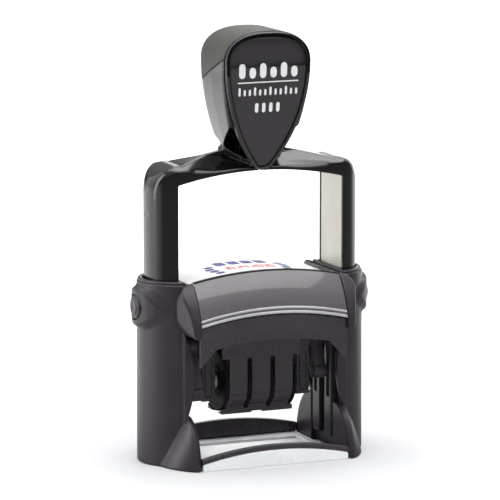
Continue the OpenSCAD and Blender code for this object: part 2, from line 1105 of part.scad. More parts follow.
module lock_button() {
    color(satin)
        difference() {
            rod_x(pocket_x + pocket_r + 0.8, button_end, 0, button_z, button_r);
            rod_x(button_end - 0.5, button_end + over, 0, button_z, 2.1);
        }
}

module lock_button_left() {
    mirror([1, 0, 0])
        lock_button();
}

module lock_button_right() {
    lock_button();
}

// Ink pad tray with its arched front, which is also the grip to pull it out by.
module cartridge_tray() {
    half = guide_x - 2;
    color(gloss)
        union() {
            arch(-guide_x + 0.1, guide_x - 0.1)
                translate([grip_r[0], -grip_y])
                    square([grip_r[1] - grip_r[0], grip_wall]);
            wings(-grip_y, -grip_y + grip_wall);
            difference() {
                arch(-half, half)
                    translate([100, -grip_y + grip_wall / 2])
                        square([grip_r[1] - 100, grip_y - grip_wall / 2 + tray_back_y]);
                box([-wide, -wide, 0], [wide, wide, pad_z + 0.2]);
                box([-pad_half[0] - 0.1, -pad_half[1] - 0.1, 0],
                    [pad_half[0] + 0.1, pad_half[1] + 0.1, pad_z + pad_t]);
            }
            both_sides()
                box([half - 2, -tray_back_y, pad_z], [half, tray_back_y, pad_z + 0.4]);
        }
}

module text_pad() {
    color(ink_blue)
        difference() {
            box([-pad_half[0], -pad_half[1], pad_z], [pad_half[0], pad_half[1], pad_z + pad_t]);
            box([-red_half[0] - 0.1, -red_half[1] - 0.1, pad_z - over],
                [red_half[0] + 0.1, red_half[1] + 0.1, pad_z + 2 * over]);
        }
}

module date_pad() {
    color(ink_red)
        box([-red_half[0], -red_half[1], pad_z], [red_half[0], red_half[1], pad_z + pad_t]);
}

left_column();
right_column();
collar_left();
collar_right();
front_rail();
rear_rail();
clear_base_frame();
top_bridge();
index_cover();
index_card();
end_bracket_left();
end_bracket_right();
guide_left();
guide_right();
return_spring_left();
return_spring_right();
hoop_shell();
steel_bracket();
knob_core();
knob_cap();
knob_badge();
badge_bezel();
pivot_pin_left();
pivot_pin_right();
slide_bush_left();
slide_bush_right();
carriage_frame();
text_plate();
rubber_die();
month_band();
tens_band();
units_band();
year_band();
band_anvil();
front_guard();
rear_guard();
wheel_axle();
cam_pin_left();
cam_pin_right();
month_wheel();
tens_wheel();
units_wheel();
year_wheel();
lock_button_left();
lock_button_right();
cartridge_tray();
text_pad();
date_pad();
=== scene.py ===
import itertools
import json
import math

import bpy
import numpy as np
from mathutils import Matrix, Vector


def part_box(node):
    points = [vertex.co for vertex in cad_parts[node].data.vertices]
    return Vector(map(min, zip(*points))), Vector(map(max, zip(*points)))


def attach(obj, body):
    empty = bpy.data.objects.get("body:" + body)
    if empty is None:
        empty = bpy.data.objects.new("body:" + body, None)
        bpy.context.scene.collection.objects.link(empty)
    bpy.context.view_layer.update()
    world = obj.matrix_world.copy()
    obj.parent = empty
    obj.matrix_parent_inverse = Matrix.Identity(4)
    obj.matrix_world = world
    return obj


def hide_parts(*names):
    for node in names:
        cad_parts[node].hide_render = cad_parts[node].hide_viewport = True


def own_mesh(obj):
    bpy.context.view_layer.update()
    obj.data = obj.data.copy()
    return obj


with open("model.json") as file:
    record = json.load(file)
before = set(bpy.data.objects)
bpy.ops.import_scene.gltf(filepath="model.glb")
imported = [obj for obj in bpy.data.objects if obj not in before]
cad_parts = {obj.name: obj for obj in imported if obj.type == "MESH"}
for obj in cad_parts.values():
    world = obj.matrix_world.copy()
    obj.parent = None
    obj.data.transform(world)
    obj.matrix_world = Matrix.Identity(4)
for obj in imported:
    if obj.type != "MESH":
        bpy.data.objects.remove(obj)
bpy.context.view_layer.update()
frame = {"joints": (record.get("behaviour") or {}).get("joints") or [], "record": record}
BODY_OF = {node: body for body, nodes in frame["record"]["behaviour"]["bodies"].items() for node in nodes}

MM = 0.001
COARSE = 1.0


# ------------------------------------------------------------ stations, in mm

def low(node):
    return np.array(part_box(node)[0]) / MM


def high(node):
    return np.array(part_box(node)[1]) / MM


def middle(node):
    return (low(node) + high(node)) / 2


def joint(name):
    return next(j for j in frame["joints"] if j["name"] == name)


WALL_X = high("guide_right")[0]          # inner face of the columns
GUIDE_X = low("guide_right")[0]          # inner face of guides, ribs and feet
COLUMN_R = high("collar_right")[1] + 0.5
COLUMN_X = WALL_X - 2.6
COLUMN_TOP = low("collar_right")[2]
COLLAR_TOP = high("collar_right")[2]
FOOT_Y = high("right_column")[1]
POCKET_X = WALL_X - 0.9
POCKET_R = 11.6
LEG_R = high("hoop_shell")[0] - POCKET_X
LEG_FLAT = WALL_X + 1.2
LEG_LOW = low("hoop_shell")[2]
BUTTON_Z = middle("lock_button_right")[2]
BUTTON_R = (high("lock_button_right")[2] - low("lock_button_right")[2]) / 2
BUTTON_X = high("lock_button_right")[0]
BOSS_X = BUTTON_X - 0.6
AXIS_Z = joint("carriage_flip")["pos_m"][2] / MM
AXLE_Z = joint("month_set")["pos_m"][2] / MM
PAD_Z = low("text_pad")[2]
DIE_Z = high("rubber_die")[2]
COVER_X = high("index_cover")[0]
COVER_TOP = high("index_cover")[2]
ARCH_R = 137.0
ARCH_Z = COVER_TOP - ARCH_R
SKIRT_R = ARCH_R - 15
TOP_HALF_Y = 15.5
SKIRT_CURVE = 30.0
SKIRT_Y = 24.0
RAIL_Y = high("rear_rail")[1]
RAIL_TOP = high("front_rail")[2]
UNDER_Z = high("steel_bracket")[2] - 1.8     # top of the window
UNDER_R = 135.7
KNOB_TOP = high("knob_cap")[2]
KNOB_WIDE_Z = 148.0
KNOB_W = high("knob_cap")[0]
KNOB_Y = 17.0
STEEL_IN = WALL_X + 1.4
STEEL_OUT = high("steel_bracket")[0]
STEEL_Y = high("steel_bracket")[1]
WHEEL_R = high("month_wheel")[2] - AXLE_Z
GUARD_R = -low("front_guard")[1]
GUARD_X = high("front_guard")[0]
GUARD_LOW = low("front_guard")[2]
FLANGE_LOW = high("front_guard")[2]
FLANGE_TOP = high("carriage_frame")[2]


# ---------------------------------------------------- distance-field modelling

def either(a, b, r=0.0):
    """Union, with a fillet of radius r in the corner."""
    if r <= 0:
        return np.minimum(a, b)
    gap = np.hypot(np.maximum(r - a, 0), np.maximum(r - b, 0))
    return np.maximum(r, np.minimum(a, b)) - gap


def both(a, b, r=0.0):
    """Intersection, with its edge rounded to radius r."""
    if r <= 0:
        return np.maximum(a, b)
    gap = np.hypot(np.maximum(r + a, 0), np.maximum(r + b, 0))
    return np.minimum(-r, np.maximum(a, b)) + gap


def cut(a, b, r=0.0):
    return both(a, -b, r)


def slab(v, lo, hi):
    return np.maximum(lo - v, v - hi)


def block(x, y, z, lo, hi, r=0.3):
    """Box with all edges rounded."""
    out, inside = 0.0, -1e9
    for v, a, b in zip((x, y, z), lo, hi):
        q = np.abs(v - (a + b) / 2) - ((b - a) / 2 - r)
        out = out + np.maximum(q, 0) ** 2
        inside = np.maximum(inside, q)
    return np.sqrt(out) + np.minimum(inside, 0) - r


def bow(half, rise):
    """Radius of the arc that rises this much over a chord of twice the half length."""
    return (half ** 2 + rise ** 2) / (2 * rise)


def polygon(u, v, points):
    """Signed distance to a closed polygon in a plane."""
    n = len(points)
    best, sign = None, 1.0
    for i in range(n):
        (ax, ay), (bx, by) = points[i - 1], points[i]
        ex, ey = bx - ax, by - ay
        px, py = u - ax, v - ay
        t = np.clip((px * ex + py * ey) / (ex * ex + ey * ey), 0, 1)
        d = (px - ex * t) ** 2 + (py - ey * t) ** 2
        best = d if best is None else np.minimum(best, d)
        above, below = v >= ay, v >= by
        side = ex * py - ey * px
        crosses = (above & ~below & (side < 0)) | (~above & below & (side > 0))
        sign = sign * np.where(crosses, -1.0, 1.0)
    return sign * np.sqrt(best)


CORNERS = np.array(list(itertools.product((0, 1), repeat=3)))
EDGES = [(i, j) for i in range(8) for j in range(i + 1, 8)
         if np.abs(CORNERS[i] - CORNERS[j]).sum() == 1]


def settle(field, p, step, rounds=3):
    """Moves points on to the field's zero surface; returns them and the normals."""
    eps = 0.01
    for turn in range(rounds):
        grad = np.empty_like(p)
        for k in range(3):
            e = np.zeros(3)
            e[k] = eps
            grad[:, k] = (field(*(p + e).T) - field(*(p - e).T)) / (2 * eps)
        square = np.maximum((grad * grad).sum(1), 0.05)
        move = (field(*p.T) / square)[:, None] * grad
        far = np.linalg.norm(move, axis=1, keepdims=True)
        p = p - move * np.minimum(1, 0.6 * step / np.maximum(far, 1e-9))
    return p, grad / np.sqrt(square)[:, None]


def surface(field, lo, hi, step, relax=2):
    """Closed quad mesh of a field's zero surface inside a box: points, quads, normals."""
    step = step * COARSE
    lo = np.asarray(lo, float) - 1.7 * step
    count = np.ceil((np.asarray(hi, float) - lo) / step).astype(int) + 2
    axes = [lo[k] + step * np.arange(count[k] + 1) for k in range(3)]
    v = field(axes[0][:, None, None], axes[1][None, :, None], axes[2][None, None, :])
    v = np.broadcast_to(v, [len(a) for a in axes]).astype(np.float32)
    neg = v < 0
    total = np.zeros(count, np.int8)
    for a, b, c in CORNERS:
        total += neg[a:count[0] + a, b:count[1] + b, c:count[2] + c]
    cells = np.argwhere((total > 0) & (total < 8))
    number = np.full(count, -1, np.int64)
    number[tuple(cells.T)] = np.arange(len(cells))
    value = np.stack([v[tuple((cells + c).T)] for c in CORNERS], 1).astype(float)
    points, hits = np.zeros((len(cells), 3)), np.zeros(len(cells))
    for i, j in EDGES:
        a, b = value[:, i], value[:, j]
        crosses = (a < 0) != (b < 0)
        t = np.where(crosses, a / np.where(crosses, a - b, 1), 0)
        points += (CORNERS[i] + t[:, None] * (CORNERS[j] - CORNERS[i])) * crosses[:, None]
        hits += crosses
    points = lo + step * (cells + points / hits[:, None])
    quads = []
    for k in range(3):
        u, w = (k + 1) % 3, (k + 2) % 3
        first = neg.take(range(count[k]), axis=k)
        second = neg.take(range(1, count[k] + 1), axis=k)
        at = np.argwhere(first != second)
        ok = (at[:, u] >= 1) & (at[:, w] >= 1) & (at[:, u] < count[u]) & (at[:, w] < count[w])
        at = at[ok]
        ring = []
        for du, dw in ((-1, -1), (0, -1), (0, 0), (-1, 0)):
            c = at.copy()
            c[:, u] += du
            c[:, w] += dw
            ring.append(number[tuple(c.T)])
        ring = np.stack(ring, 1)
        outward = first[tuple(at.T)]
        quads.append(np.where(outward[:, None], ring, ring[:, ::-1]))
    quads = np.concatenate(quads)
    points, normals = settle(field, points, step)
    for turn in range(relax):
        total, near = np.zeros_like(points), np.zeros(len(points))
        for i in range(4):
            a, b = quads[:, i], quads[:, (i + 1) % 4]
            near += np.bincount(a, minlength=len(points)) + np.bincount(b, minlength=len(points))
            for k in range(3):
                total[:, k] += np.bincount(a, points[b, k], len(points))
                total[:, k] += np.bincount(b, points[a, k], len(points))
        shift = total / near[:, None] - points
        shift -= (shift * normals).sum(1)[:, None] * normals
        points, normals = settle(field, points + 0.5 * shift, step, 2)
    return points, quads, normals


# -------------------------------------------------------------- making pieces

def piece(name, points, faces, material, nodes=(), body=None, slot=None, normals=None, smooth=True):
    """A mesh on the body of the first CAD node that it stands for. The slot argument is not used."""
    mesh = bpy.data.meshes.new(name)
    mesh.from_pydata((np.asarray(points) * MM).tolist(), [], [list(f) for f in faces])
    mesh.polygons.foreach_set("use_smooth", [smooth] * len(mesh.polygons))
    if normals is not None:
        mesh.normals_split_custom_set_from_vertices(np.asarray(normals).tolist())
    for m in (material if isinstance(material, list) else [material]):
        mesh.materials.append(m)
    made = bpy.data.objects.new(name, mesh)
    bpy.context.scene.collection.objects.link(made)
    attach(made, body or BODY_OF[nodes[0]])
    if nodes:
        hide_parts(*nodes)
    return made


def moulded(name, field, step, material, nodes, hi=None, relax=2):
    """A piece from a distance field, over its nodes' box."""
    lo = np.min([low(n) for n in nodes], 0)
    hi = np.max([high(n) for n in nodes], 0) if hi is None else hi
    p, q, n = surface(field, lo, hi, step, relax)
    piece(name, p, q.tolist(), material, nodes, normals=n)
    return p, q, n


def moulded_pair(names, field, step, material, nodes, axis=0, relax=2):
    """A piece for the first node, and its mirror image across an axis for the second."""
    p, q, n = moulded(names[0], field, step, material, nodes[:1], relax=relax)
    flip = np.ones(3)
    flip[axis] = -1
    piece(names[1], p * flip, q[:, ::-1].tolist(), material, nodes[1:], normals=n * flip)


def sides(stem):
    return [stem.format("right"), stem.format("left")]


def join_meshes(parts):
    """Several (points, faces) lists as one."""
    points, faces, base = [], [], 0
    for p, f in parts:
        points.extend(p)
        faces.extend([[i + base for i in face] for face in f])
        base += len(p)
    return points, faces


def tube_faces(rings, n, flip=False, closed=False):
    """Faces along a run of rings of n points, capped at its ends or joined into a loop."""
    faces = []
    for k in range(rings if closed else rings - 1):
        here, there = k * n, (k + 1) % rings * n
        for i in range(n):
            j = (i + 1) % n
            faces.append([here + i, here + j, there + j, there + i])
    if not closed:
        faces.append(list(range(n))[::-1])
        faces.append([(rings - 1) * n + i for i in range(n)])
    return [face[::-1] for face in faces] if flip else faces


def lathe_x(profile, y, z, steps=48, groove=None, flip=False, closed=False):
    """Solid of revolution about an X line, from (x, r) stations less groove(r, step)."""
    points = []
    for x, r in profile:
        for i in range(steps):
            a = 2 * math.pi * i / steps
            rr = r - (groove(r, i) if groove else 0)
            points.append((x, y + rr * math.cos(a), z + rr * math.sin(a)))
    return points, tube_faces(len(profile), steps, flip, closed)


def shade_by_angle(made, degrees=35):
    made.data.set_sharp_from_angle(angle=math.radians(degrees))
    return made


def ease_edges(made, width):
    rounding = made.modifiers.new("rounding", "BEVEL")
    rounding.width = width * MM
    rounding.segments = 2
    rounding.limit_method = "ANGLE"


# ------------------------------------------------------------------ materials

def nodes_of(name):
    material = bpy.data.materials.new(name)
    material.use_nodes = True
    tree = material.node_tree
    return material, tree, tree.nodes["Principled BSDF"]


def wire(tree, node, inputs):
    """Sets a node's inputs, given by name or number, to values or to other nodes' outputs."""
    for key, value in inputs.items():
        socket = node.inputs[key]
        if isinstance(value, bpy.types.NodeSocket):
            tree.links.new(value, socket)
        else:
            socket.default_value = (*value, 1.0) if socket.type == "RGBA" else value


def add(tree, kind, inputs=None, **settings):
    node = tree.nodes.new("ShaderNode" + kind)
    for name, value in settings.items():
        setattr(node, name, value)
    wire(tree, node, inputs or {})
    return node


def maths(tree, operation, *values, clamp=False):
    node = add(tree, "Math", dict(enumerate(values)), operation=operation, use_clamp=clamp)
    return node.outputs["Value"]


def noise(tree, scale, detail=2.0, stretch=(1, 1, 1), rough=0.5):
    place = add(tree, "TexCoord")
    mapping = add(tree, "Mapping", {"Vector": place.outputs["Object"], "Scale": stretch})
    texture = add(tree, "TexNoise", {"Vector": mapping.outputs["Vector"], "Scale": scale,
                                     "Detail": detail, "Roughness": rough})
    return texture.outputs["Fac"]


def ramp(tree, source, low_at, low_value, high_at, high_value):
    """Maps the stretch between two levels to another two values."""
    node = add(tree, "MapRange", {"Value": source, "From Min": low_at, "From Max": high_at,
                                  "To Min": low_value, "To Max": high_value})
    return node.outputs["Result"]


def mix_colour(tree, factor, first, second):
    return add(tree, "Mix", {"Factor": factor, 6: first, 7: second}, data_type="RGBA").outputs[2]


def bump(tree, shader, height, distance):
    node = add(tree, "Bump", {"Strength": 1.0, "Distance": distance, "Height": height})
    wire(tree, shader, {"Normal": node.outputs["Normal"]})


def plastic(name, colour, rough, spread, grain, depth, coat, mottle, wear,
            stretch=(1, 1, 1), metallic=0.0, specular=0.5):
    """Moulded plastic: fine grain, drifting sheen, slight colour mottling, rubbed edges.

    spread is the sheen's drift, grain the bumps per metre and depth their height in metres,
    coat the share of a polished skin, mottle the colour's drift and wear the edges' rubbing.
    """
    material, tree, shader = nodes_of(name)
    fine = noise(tree, grain, 2.0, stretch)
    broad = noise(tree, 55.0, 4.0)
    darker = tuple(c * (1 - mottle) for c in colour)
    lighter = tuple(min(1, c * (1 + mottle)) for c in colour)
    tone = mix_colour(tree, ramp(tree, broad, 0.35, 0.0, 0.65, 1.0), darker, lighter)
    if wear > 0:
        geometry = add(tree, "NewGeometry")
        edge = ramp(tree, geometry.outputs["Pointiness"], 0.52, 0.0, 0.60, wear)
        worn = tuple(min(1, c * 1.9 + 0.02) for c in colour)
        tone = mix_colour(tree, edge, tone, worn)
    scuff = noise(tree, 240.0, 5.0, (1, 1, 0.35), 0.62)
    sheen = ramp(tree, scuff, 0.3, rough - spread, 0.7, rough + spread)
    wire(tree, shader, {"Base Color": tone, "Roughness": sheen, "Metallic": metallic,
                        "Specular IOR Level": specular, "Coat Weight": coat, "Coat Roughness": 0.06})
    bump(tree, shader, fine, depth)
    return material


def see_through(name, tint, clear, sheen):
    """Thin clear plastic: mostly transparent, with a Fresnel sheen and a little haze."""
    material, tree, shader = nodes_of(name)
    haze = 0.04
    wire(tree, shader, {"Base Color": (0.9, 0.9, 0.9), "Roughness": 0.05})
    window = add(tree, "BsdfTransparent", {"Color": tint})
    cloud = ramp(tree, noise(tree, 90.0, 4.0), 0.3, clear - haze, 0.7, clear + haze)
    fresnel = add(tree, "Fresnel", {"IOR": 1.45})
    facing = maths(tree, "MULTIPLY_ADD", fresnel.outputs["Fac"], -sheen, 1.0)
    mixer = add(tree, "MixShader", {0: maths(tree, "MULTIPLY", facing, cloud),
                                    1: shader.outputs["BSDF"], 2: window.outputs["BSDF"]})
    wire(tree, tree.nodes["Material Output"], {"Surface": mixer.outputs["Shader"]})
    bump(tree, shader, noise(tree, 1500.0, 2.0), 2e-6)
    return material


# name, colour, roughness, its spread, grain, depth, coat, mottle, wear
satin = plastic("satin_violet_black", (0.028, 0.021, 0.029), 0.36, 0.05, 5200, 5e-6, 0.0, 0.10, 0.2)
gloss = plastic("polished_black", (0.0045, 0.0038, 0.005), 0.16, 0.04, 2600, 1.2e-6, 0.25, 0.08, 0.1)
# the inner parts' black plastic; its base colour is lifted above the columns' so that parts in shade read
# lighter, which is painted light
inner_gloss = plastic("moulded_black", (0.043, 0.035, 0.044), 0.29, 0.05, 4200, 3e-6, 0.0, 0.10, 0.1)
rim_black = plastic("rim_black", (0.036, 0.031, 0.036), 0.30, 0.04, 4200, 2e-6, 0.0, 0.06, 0.0)
wheel_black = plastic("wheel_black", (0.009, 0.007, 0.009), 0.55, 0.05, 3600, 4e-6, 0.0, 0.10, 0.1,
                      specular=0.15)
soft_touch = plastic("soft_touch_grey", (0.050, 0.050, 0.043), 0.60, 0.05, 7000, 9e-6, 0.0, 0.10, 0.15)
badge_face = plastic("badge_satin", (0.040, 0.034, 0.039), 0.42, 0.04, 8000, 6e-6, 0.0, 0.06, 0.0)
silver = plastic("silver_print", (0.92, 0.92, 0.93), 0.35, 0.05, 3000, 2e-6, 0.0, 0.05, 0.0, metallic=0.25)
steel = plastic("brushed_steel", (0.54, 0.51, 0.465), 0.36, 0.07, 1500, 3e-6, 0.0, 0.05, 0.0,
                stretch=(9, 9, 0.25), metallic=0.75)
bright_steel = plastic("turned_steel", (0.74, 0.73, 0.71), 0.22, 0.05, 3500, 2e-6, 0.0, 0.05, 0.0,
                       stretch=(8, 1, 1), metallic=1.0)
card_paper = plastic("coated_card", (0.93, 0.93, 0.925), 0.55, 0.05, 2600, 6e-6, 0.0, 0.02, 0.0)
blue_print = plastic("blue_print", (0.012, 0.015, 0.22), 0.75, 0.06, 3800, 5e-6, 0.0, 0.20, 0.0,
                     specular=0.1)
red_print = plastic("red_print", (0.66, 0.050, 0.030), 0.75, 0.06, 3800, 5e-6, 0.0, 0.20, 0.0,
                    specular=0.1)
plate_grey = plastic("moulded_plate", (0.62, 0.62, 0.61), 0.45, 0.06, 3500, 5e-6, 0.0, 0.05, 0.1)
axle_grey = plastic("acetal_grey", (0.50, 0.51, 0.53), 0.35, 0.05, 3500, 4e-6, 0.0, 0.05, 0.0)
band_rubber = plastic("band_rubber", (0.115, 0.105, 0.095), 0.70, 0.07, 2800, 1.2e-5, 0.0, 0.15, 0.15)
die_rubber = plastic("die_rubber", (0.33, 0.16, 0.13), 0.68, 0.07, 3000, 1.2e-5, 0.0, 0.15, 0.15)
felt_blue = plastic("inked_felt_blue", (0.012, 0.018, 0.14), 0.75, 0.10, 1800, 6e-5, 0.1, 0.30, 0.0)
felt_red = plastic("inked_felt_red", (0.22, 0.010, 0.010), 0.75, 0.10, 1800, 6e-5, 0.1, 0.30, 0.0)
smoke = plastic("smoke_acrylic", (0.090, 0.078, 0.087), 0.30, 0.04, 2200, 1e-6, 0.8, 0.04, 0.0)
# painted highlight: the cover's beads are clear plastic, and their light grey colour stands for the bright
# lines of light along the skirt
clear_bead_painted_highlight = plastic("clear_bead_painted_highlight", (0.42, 0.41, 0.44), 0.12, 0.03, 2200, 1e-6, 1.0, 0.04, 0.0)
clear_top = see_through("clear_acrylic", (0.995, 0.995, 0.995), 0.975, 0.08)
frosted = plastic("frosted_clear", (0.88, 0.89, 0.905), 0.30, 0.05, 2200, 2e-6, 0.3, 0.03, 0.0)


# ------------------------------------------------------------------ housing

def leg_plan(x, y, r, flat, edge):
    return both(np.hypot(x - POCKET_X, y) - r, flat - x, edge)


def foot(x, y, z):
    """Leaf-shaped foot with a crest, shrinking towards a point as it rises."""
    ay = np.abs(y)
    crest_x, reach, out, top, power = WALL_X - 0.5, 12.8, 9.3, 18.8, 1.65
    share = np.clip(z / top, 0, 0.995)
    tall = np.sqrt(1 - share * share)
    wide = (1 - share) ** 0.75
    u = np.maximum(x - crest_x, 0)
    w = np.maximum(crest_x - x, 0)
    v = np.maximum(ay - (FOOT_Y - reach) + 0.35 * u + 0.75 * w, 0)
    plan = (u / (out * wide)) ** power + (v / (reach * tall)) ** power
    d = (plan ** (1 / power) - 1) * 0.8 * np.minimum(out * wide, reach * tall)
    d = both(d, z - top + 0.1, 0.3)
    return both(both(d, GUIDE_X - x, 0.4), 10 - ay)


def column(x, y, z):
    ay = np.abs(y)
    d = both(np.hypot(x - COLUMN_X, y) - COLUMN_R, WALL_X - x, 0.9)
    d = both(d, z - COLUMN_TOP, 0.5)
    eye_tall, boss_r = 7.35, 13.9
    eye_r = bow(13.0, eye_tall)
    eye = both(np.hypot(y, z - (BUTTON_Z + eye_tall - eye_r)) - eye_r,
               np.hypot(y, z - (BUTTON_Z - eye_tall + eye_r)) - eye_r, 1.0)
    boss = both(both(eye, np.hypot(x - (BOSS_X - boss_r), y) - boss_r, 1.4), 37 - x)
    d = either(d, boss, 1.6)
    d = either(d, foot(x, y, z), 0.5)
    bulge = 3.0
    leaf_r = bow(15.0, bulge)
    leaf = both(np.hypot(x - (WALL_X - bulge + leaf_r), z - 33) - leaf_r, x - WALL_X - 1.2)
    d = either(d, both(leaf, slab(ay, 13.5, 16.0), 0.5), 0.5)
    d = both(d, -z, 0.7)
    pocket = both(leg_plan(x, y, POCKET_R, WALL_X + 1, 0.3), 3 - z, 0.3)
    d = cut(d, pocket, 0.35)
    slot = both(slab(y, -2.25, 2.25), slab(z, 4.8, AXIS_Z + 2.8), 0)
    d = cut(d, both(slot, x - WALL_X - 2, 0), 0.3)
    bore = both(np.hypot(y, z - BUTTON_Z) - BUTTON_R - 0.1, 41.5 - x)
    return cut(d, bore, 0.25)


def collar(x, y, z):
    d = both(np.hypot(x - COLUMN_X, y) - COLUMN_R + 0.5, WALL_X - x, 0.8)
    d = both(d, z - COLLAR_TOP, 0.55)
    d = both(d, COLUMN_TOP - z, 0.1)
    return cut(d, leg_plan(x, y, POCKET_R, WALL_X + 1, 0.3), 0.3)


def skirt_centre():
    p, q = np.array([TOP_HALF_Y, ARCH_R]), np.array([SKIRT_Y, SKIRT_R])
    d = q - p
    h = math.sqrt(SKIRT_CURVE ** 2 - (d @ d) / 4)
    return (p + q) / 2 + h / np.linalg.norm(d) * np.array([d[1], -d[0]])


SKIRT_C = skirt_centre()


def cover_form(x, y, z, grow, edge=0.8):
    """The arched cover's outside, grown by a distance."""
    rho = np.hypot(x, z - ARCH_Z)
    ay = np.abs(y)
    side = np.hypot(rho - SKIRT_C[1], ay - SKIRT_C[0]) - (SKIRT_CURVE + grow)
    return both(side, rho - (ARCH_R + grow), edge)


def bracket(x, y, z):
    ay = np.abs(y)
    outer = cover_form(x, y, z, 0.6, 1.2)
    rib = both(outer, slab(x, GUIDE_X, WALL_X), 0.45)
    rib = cut(rib, cover_form(x, y, z, -4.2), 0.3)
    bulge = 4.5
    lobe_r = bow(10.0, bulge)
    leaf = np.hypot(x - (WALL_X + bulge - lobe_r), z - 59.0) - lobe_r
    wedge = polygon(x, ay, [(WALL_X - 0.6, 12), (WALL_X - 0.6, 27.5), (WALL_X + 5, 14), (WALL_X + 5, 12)])
    lobe = both(both(both(outer, leaf, 0.8), wedge, 0.8), WALL_X - 0.6 - x)
    d = either(rib, lobe, 0.3)
    d = both(d, 49 - z, 0.8)
    d = cut(d, np.hypot(x - COLUMN_X, y) - COLUMN_R - 0.06)
    return both(d, np.where(ay < 15.3, x - WALL_X + 0.02, -1.0))


def rail_z(x):
    r = bow(GUIDE_X, 3.5)
    return RAIL_TOP - r + np.sqrt(np.maximum(r * r - x * x, 0))


def rail(x, y, z):
    top = z - rail_z(x)
    lip = both(slab(y, -RAIL_Y, -RAIL_Y + 1.3), both(top, -top - 2.0, 0.55), 0.55)
    wall = both(slab(y, -RAIL_Y + 1.0, -RAIL_Y + 2.2), both(top, 1.2 - z, 0.2), 0.3)
    return both(either(lip, wall, 0.1), np.abs(x) - GUIDE_X)


def base_frame(x, y, z):
    ax, ay = np.abs(x), np.abs(y)
    plate = block(x, y, z, (-GUIDE_X + 0.2, -RAIL_Y, 0), (GUIDE_X - 0.2, RAIL_Y, 1.0), 0.3)
    hole = both(ax - 26, ay - 16.6, 0.8)
    plate = cut(plate, hole, 0.25)
    rim = both(slab(ay, RAIL_Y - 1.05, RAIL_Y), both(z - rail_z(x) + 2.05, -z, 0.2), 0.2)
    return both(either(plate, rim, 0.3), ax - GUIDE_X + 0.2, 0.2)


def corner_wing(ax, z):
    """Flat wing in the corner between the arch and the end brackets."""
    return polygon(ax, z, [(21.5, 45.5), (GUIDE_X - 0.6, 38), (GUIDE_X - 0.1, 38), (GUIDE_X - 0.1, 48)])


def bridge(x, y, z):
    rho = np.hypot(x, z - ARCH_Z)
    ax = np.abs(x)
    roof = cut(cover_form(x, y, z, -1.7), cover_form(x, y, z, -3.2))
    roof = both(roof, SKIRT_R + 1 - rho, 0.3)
    d = both(roof, ax - GUIDE_X + 0.02, 0.2)
    wall = 1.5
    back_y = SKIRT_Y - 1.7 - wall - 0.6
    arch_wall = both(slab(y, back_y, back_y + wall), slab(rho, 112.3, SKIRT_R + 2), 0.3)
    wing = both(corner_wing(ax, z), slab(y, back_y, back_y + wall), 0.3)
    d = either(d, both(either(arch_wall, wing, 0.4), ax - GUIDE_X + 0.02, 0.2), 0.4)
    ends = both(cover_form(x, y, z, -2.4), slab(ax, GUIDE_X - 1.7, GUIDE_X - 0.02))
    ends = both(ends, np.maximum(49 - z, np.where(y < -19.5, 57 - z, 49 - z)))
    ledge = both(slab(ax, GUIDE_X - 3, GUIDE_X - 0.02), both(slab(y, -19.5, 19.5), slab(z, 49, PAD_Z - 0.05)))
    return either(d, either(ends, ledge), 0.3)


def guide(x, y, z):
    d = block(x, y, z, (GUIDE_X, -8.5, 5), (WALL_X, 8.5, 45.5), 0.5)
    d = cut(d, both(slab(y, -2.25, 2.25), z - 44.4), 0.4)
    for side in (-1, 1):
        channel = both(slab(y * side, 4.4, 6.9), slab(z, 20, 40), 0.6)
        d = cut(d, both(channel, x - GUIDE_X - 0.8), 0.25)
    return d


moulded_pair(sides("column_{}"), column, 0.42, satin, sides("{}_column"))
moulded_pair(sides("collar_ring_{}"), collar, 0.24, satin, sides("collar_{}"))
moulded_pair(sides("cover_bracket_{}"), bracket, 0.30, satin, sides("end_bracket_{}"))
moulded_pair(sides("pin_guide_{}"), guide, 0.35, satin, sides("guide_{}"))
moulded_pair(["rail_front", "rail_rear"], rail, 0.28, inner_gloss, ["front_rail", "rear_rail"], axis=1)
moulded("base_window", base_frame, 0.30, frosted, ["clear_base_frame"], relax=1)
moulded("bridge_roof", bridge, 0.50, inner_gloss, ["top_bridge"])


def arch_sweep(section, half_x, columns=60):
    """Sweeps a closed loop of (y, radius) round the arch's axis, flat at both ends."""
    points = []
    for i in range(columns + 1):
        x = -half_x + 2 * half_x * i / columns
        points += [(x, y, ARCH_Z + math.sqrt(rho * rho - x * x)) for y, rho in section]
    return points, tube_faces(columns + 1, len(section))


def arc(centre, r, a0, a1, steps):
    return [(centre[0] + r * math.cos(a0 + (a1 - a0) * i / steps),
             centre[1] + r * math.sin(a0 + (a1 - a0) * i / steps)) for i in range(steps + 1)]


def half_section(grow, corner):
    """One side of the cover's section from its lower edge to the middle of the top."""
    r = SKIRT_CURVE + grow
    c = SKIRT_C
    low_a = math.asin((SKIRT_R - c[1]) / r)
    # the corner arc touches the skirt's curve and the flat top
    top = ARCH_R + grow
    cz = top - corner
    cy = c[0] + math.sqrt((r - corner) ** 2 - (cz - c[1]) ** 2)
    high_a = math.atan2(cz - c[1], cy - c[0])
    return arc(c, r, low_a, high_a, 22) + arc((cy, cz), corner, high_a, math.pi / 2, 6)[1:]


def cover_loop():
    wall = 1.2
    outer = half_section(0.0, 1.3)
    inner = half_section(-wall, 0.5)
    strip = [(card_y + 0.45, ARCH_R), (card_y, ARCH_R)]
    right = outer + strip
    left = [(-y, r) for y, r in right][::-1]
    back = [(-y, r) for y, r in inner]
    front = inner[::-1]
    return right + left + back + front


def bead_loop(side, r, up):
    """Round bead that sits on the skirt's curve, some way above its lower edge."""
    cr = SKIRT_R + up
    cy = side * (SKIRT_C[0] + math.sqrt((SKIRT_CURVE - r + 0.25) ** 2 - (cr - SKIRT_C[1]) ** 2))
    return [(cy + r * math.cos(a * math.pi / 8), cr + r * math.sin(a * math.pi / 8)) for a in range(16)]


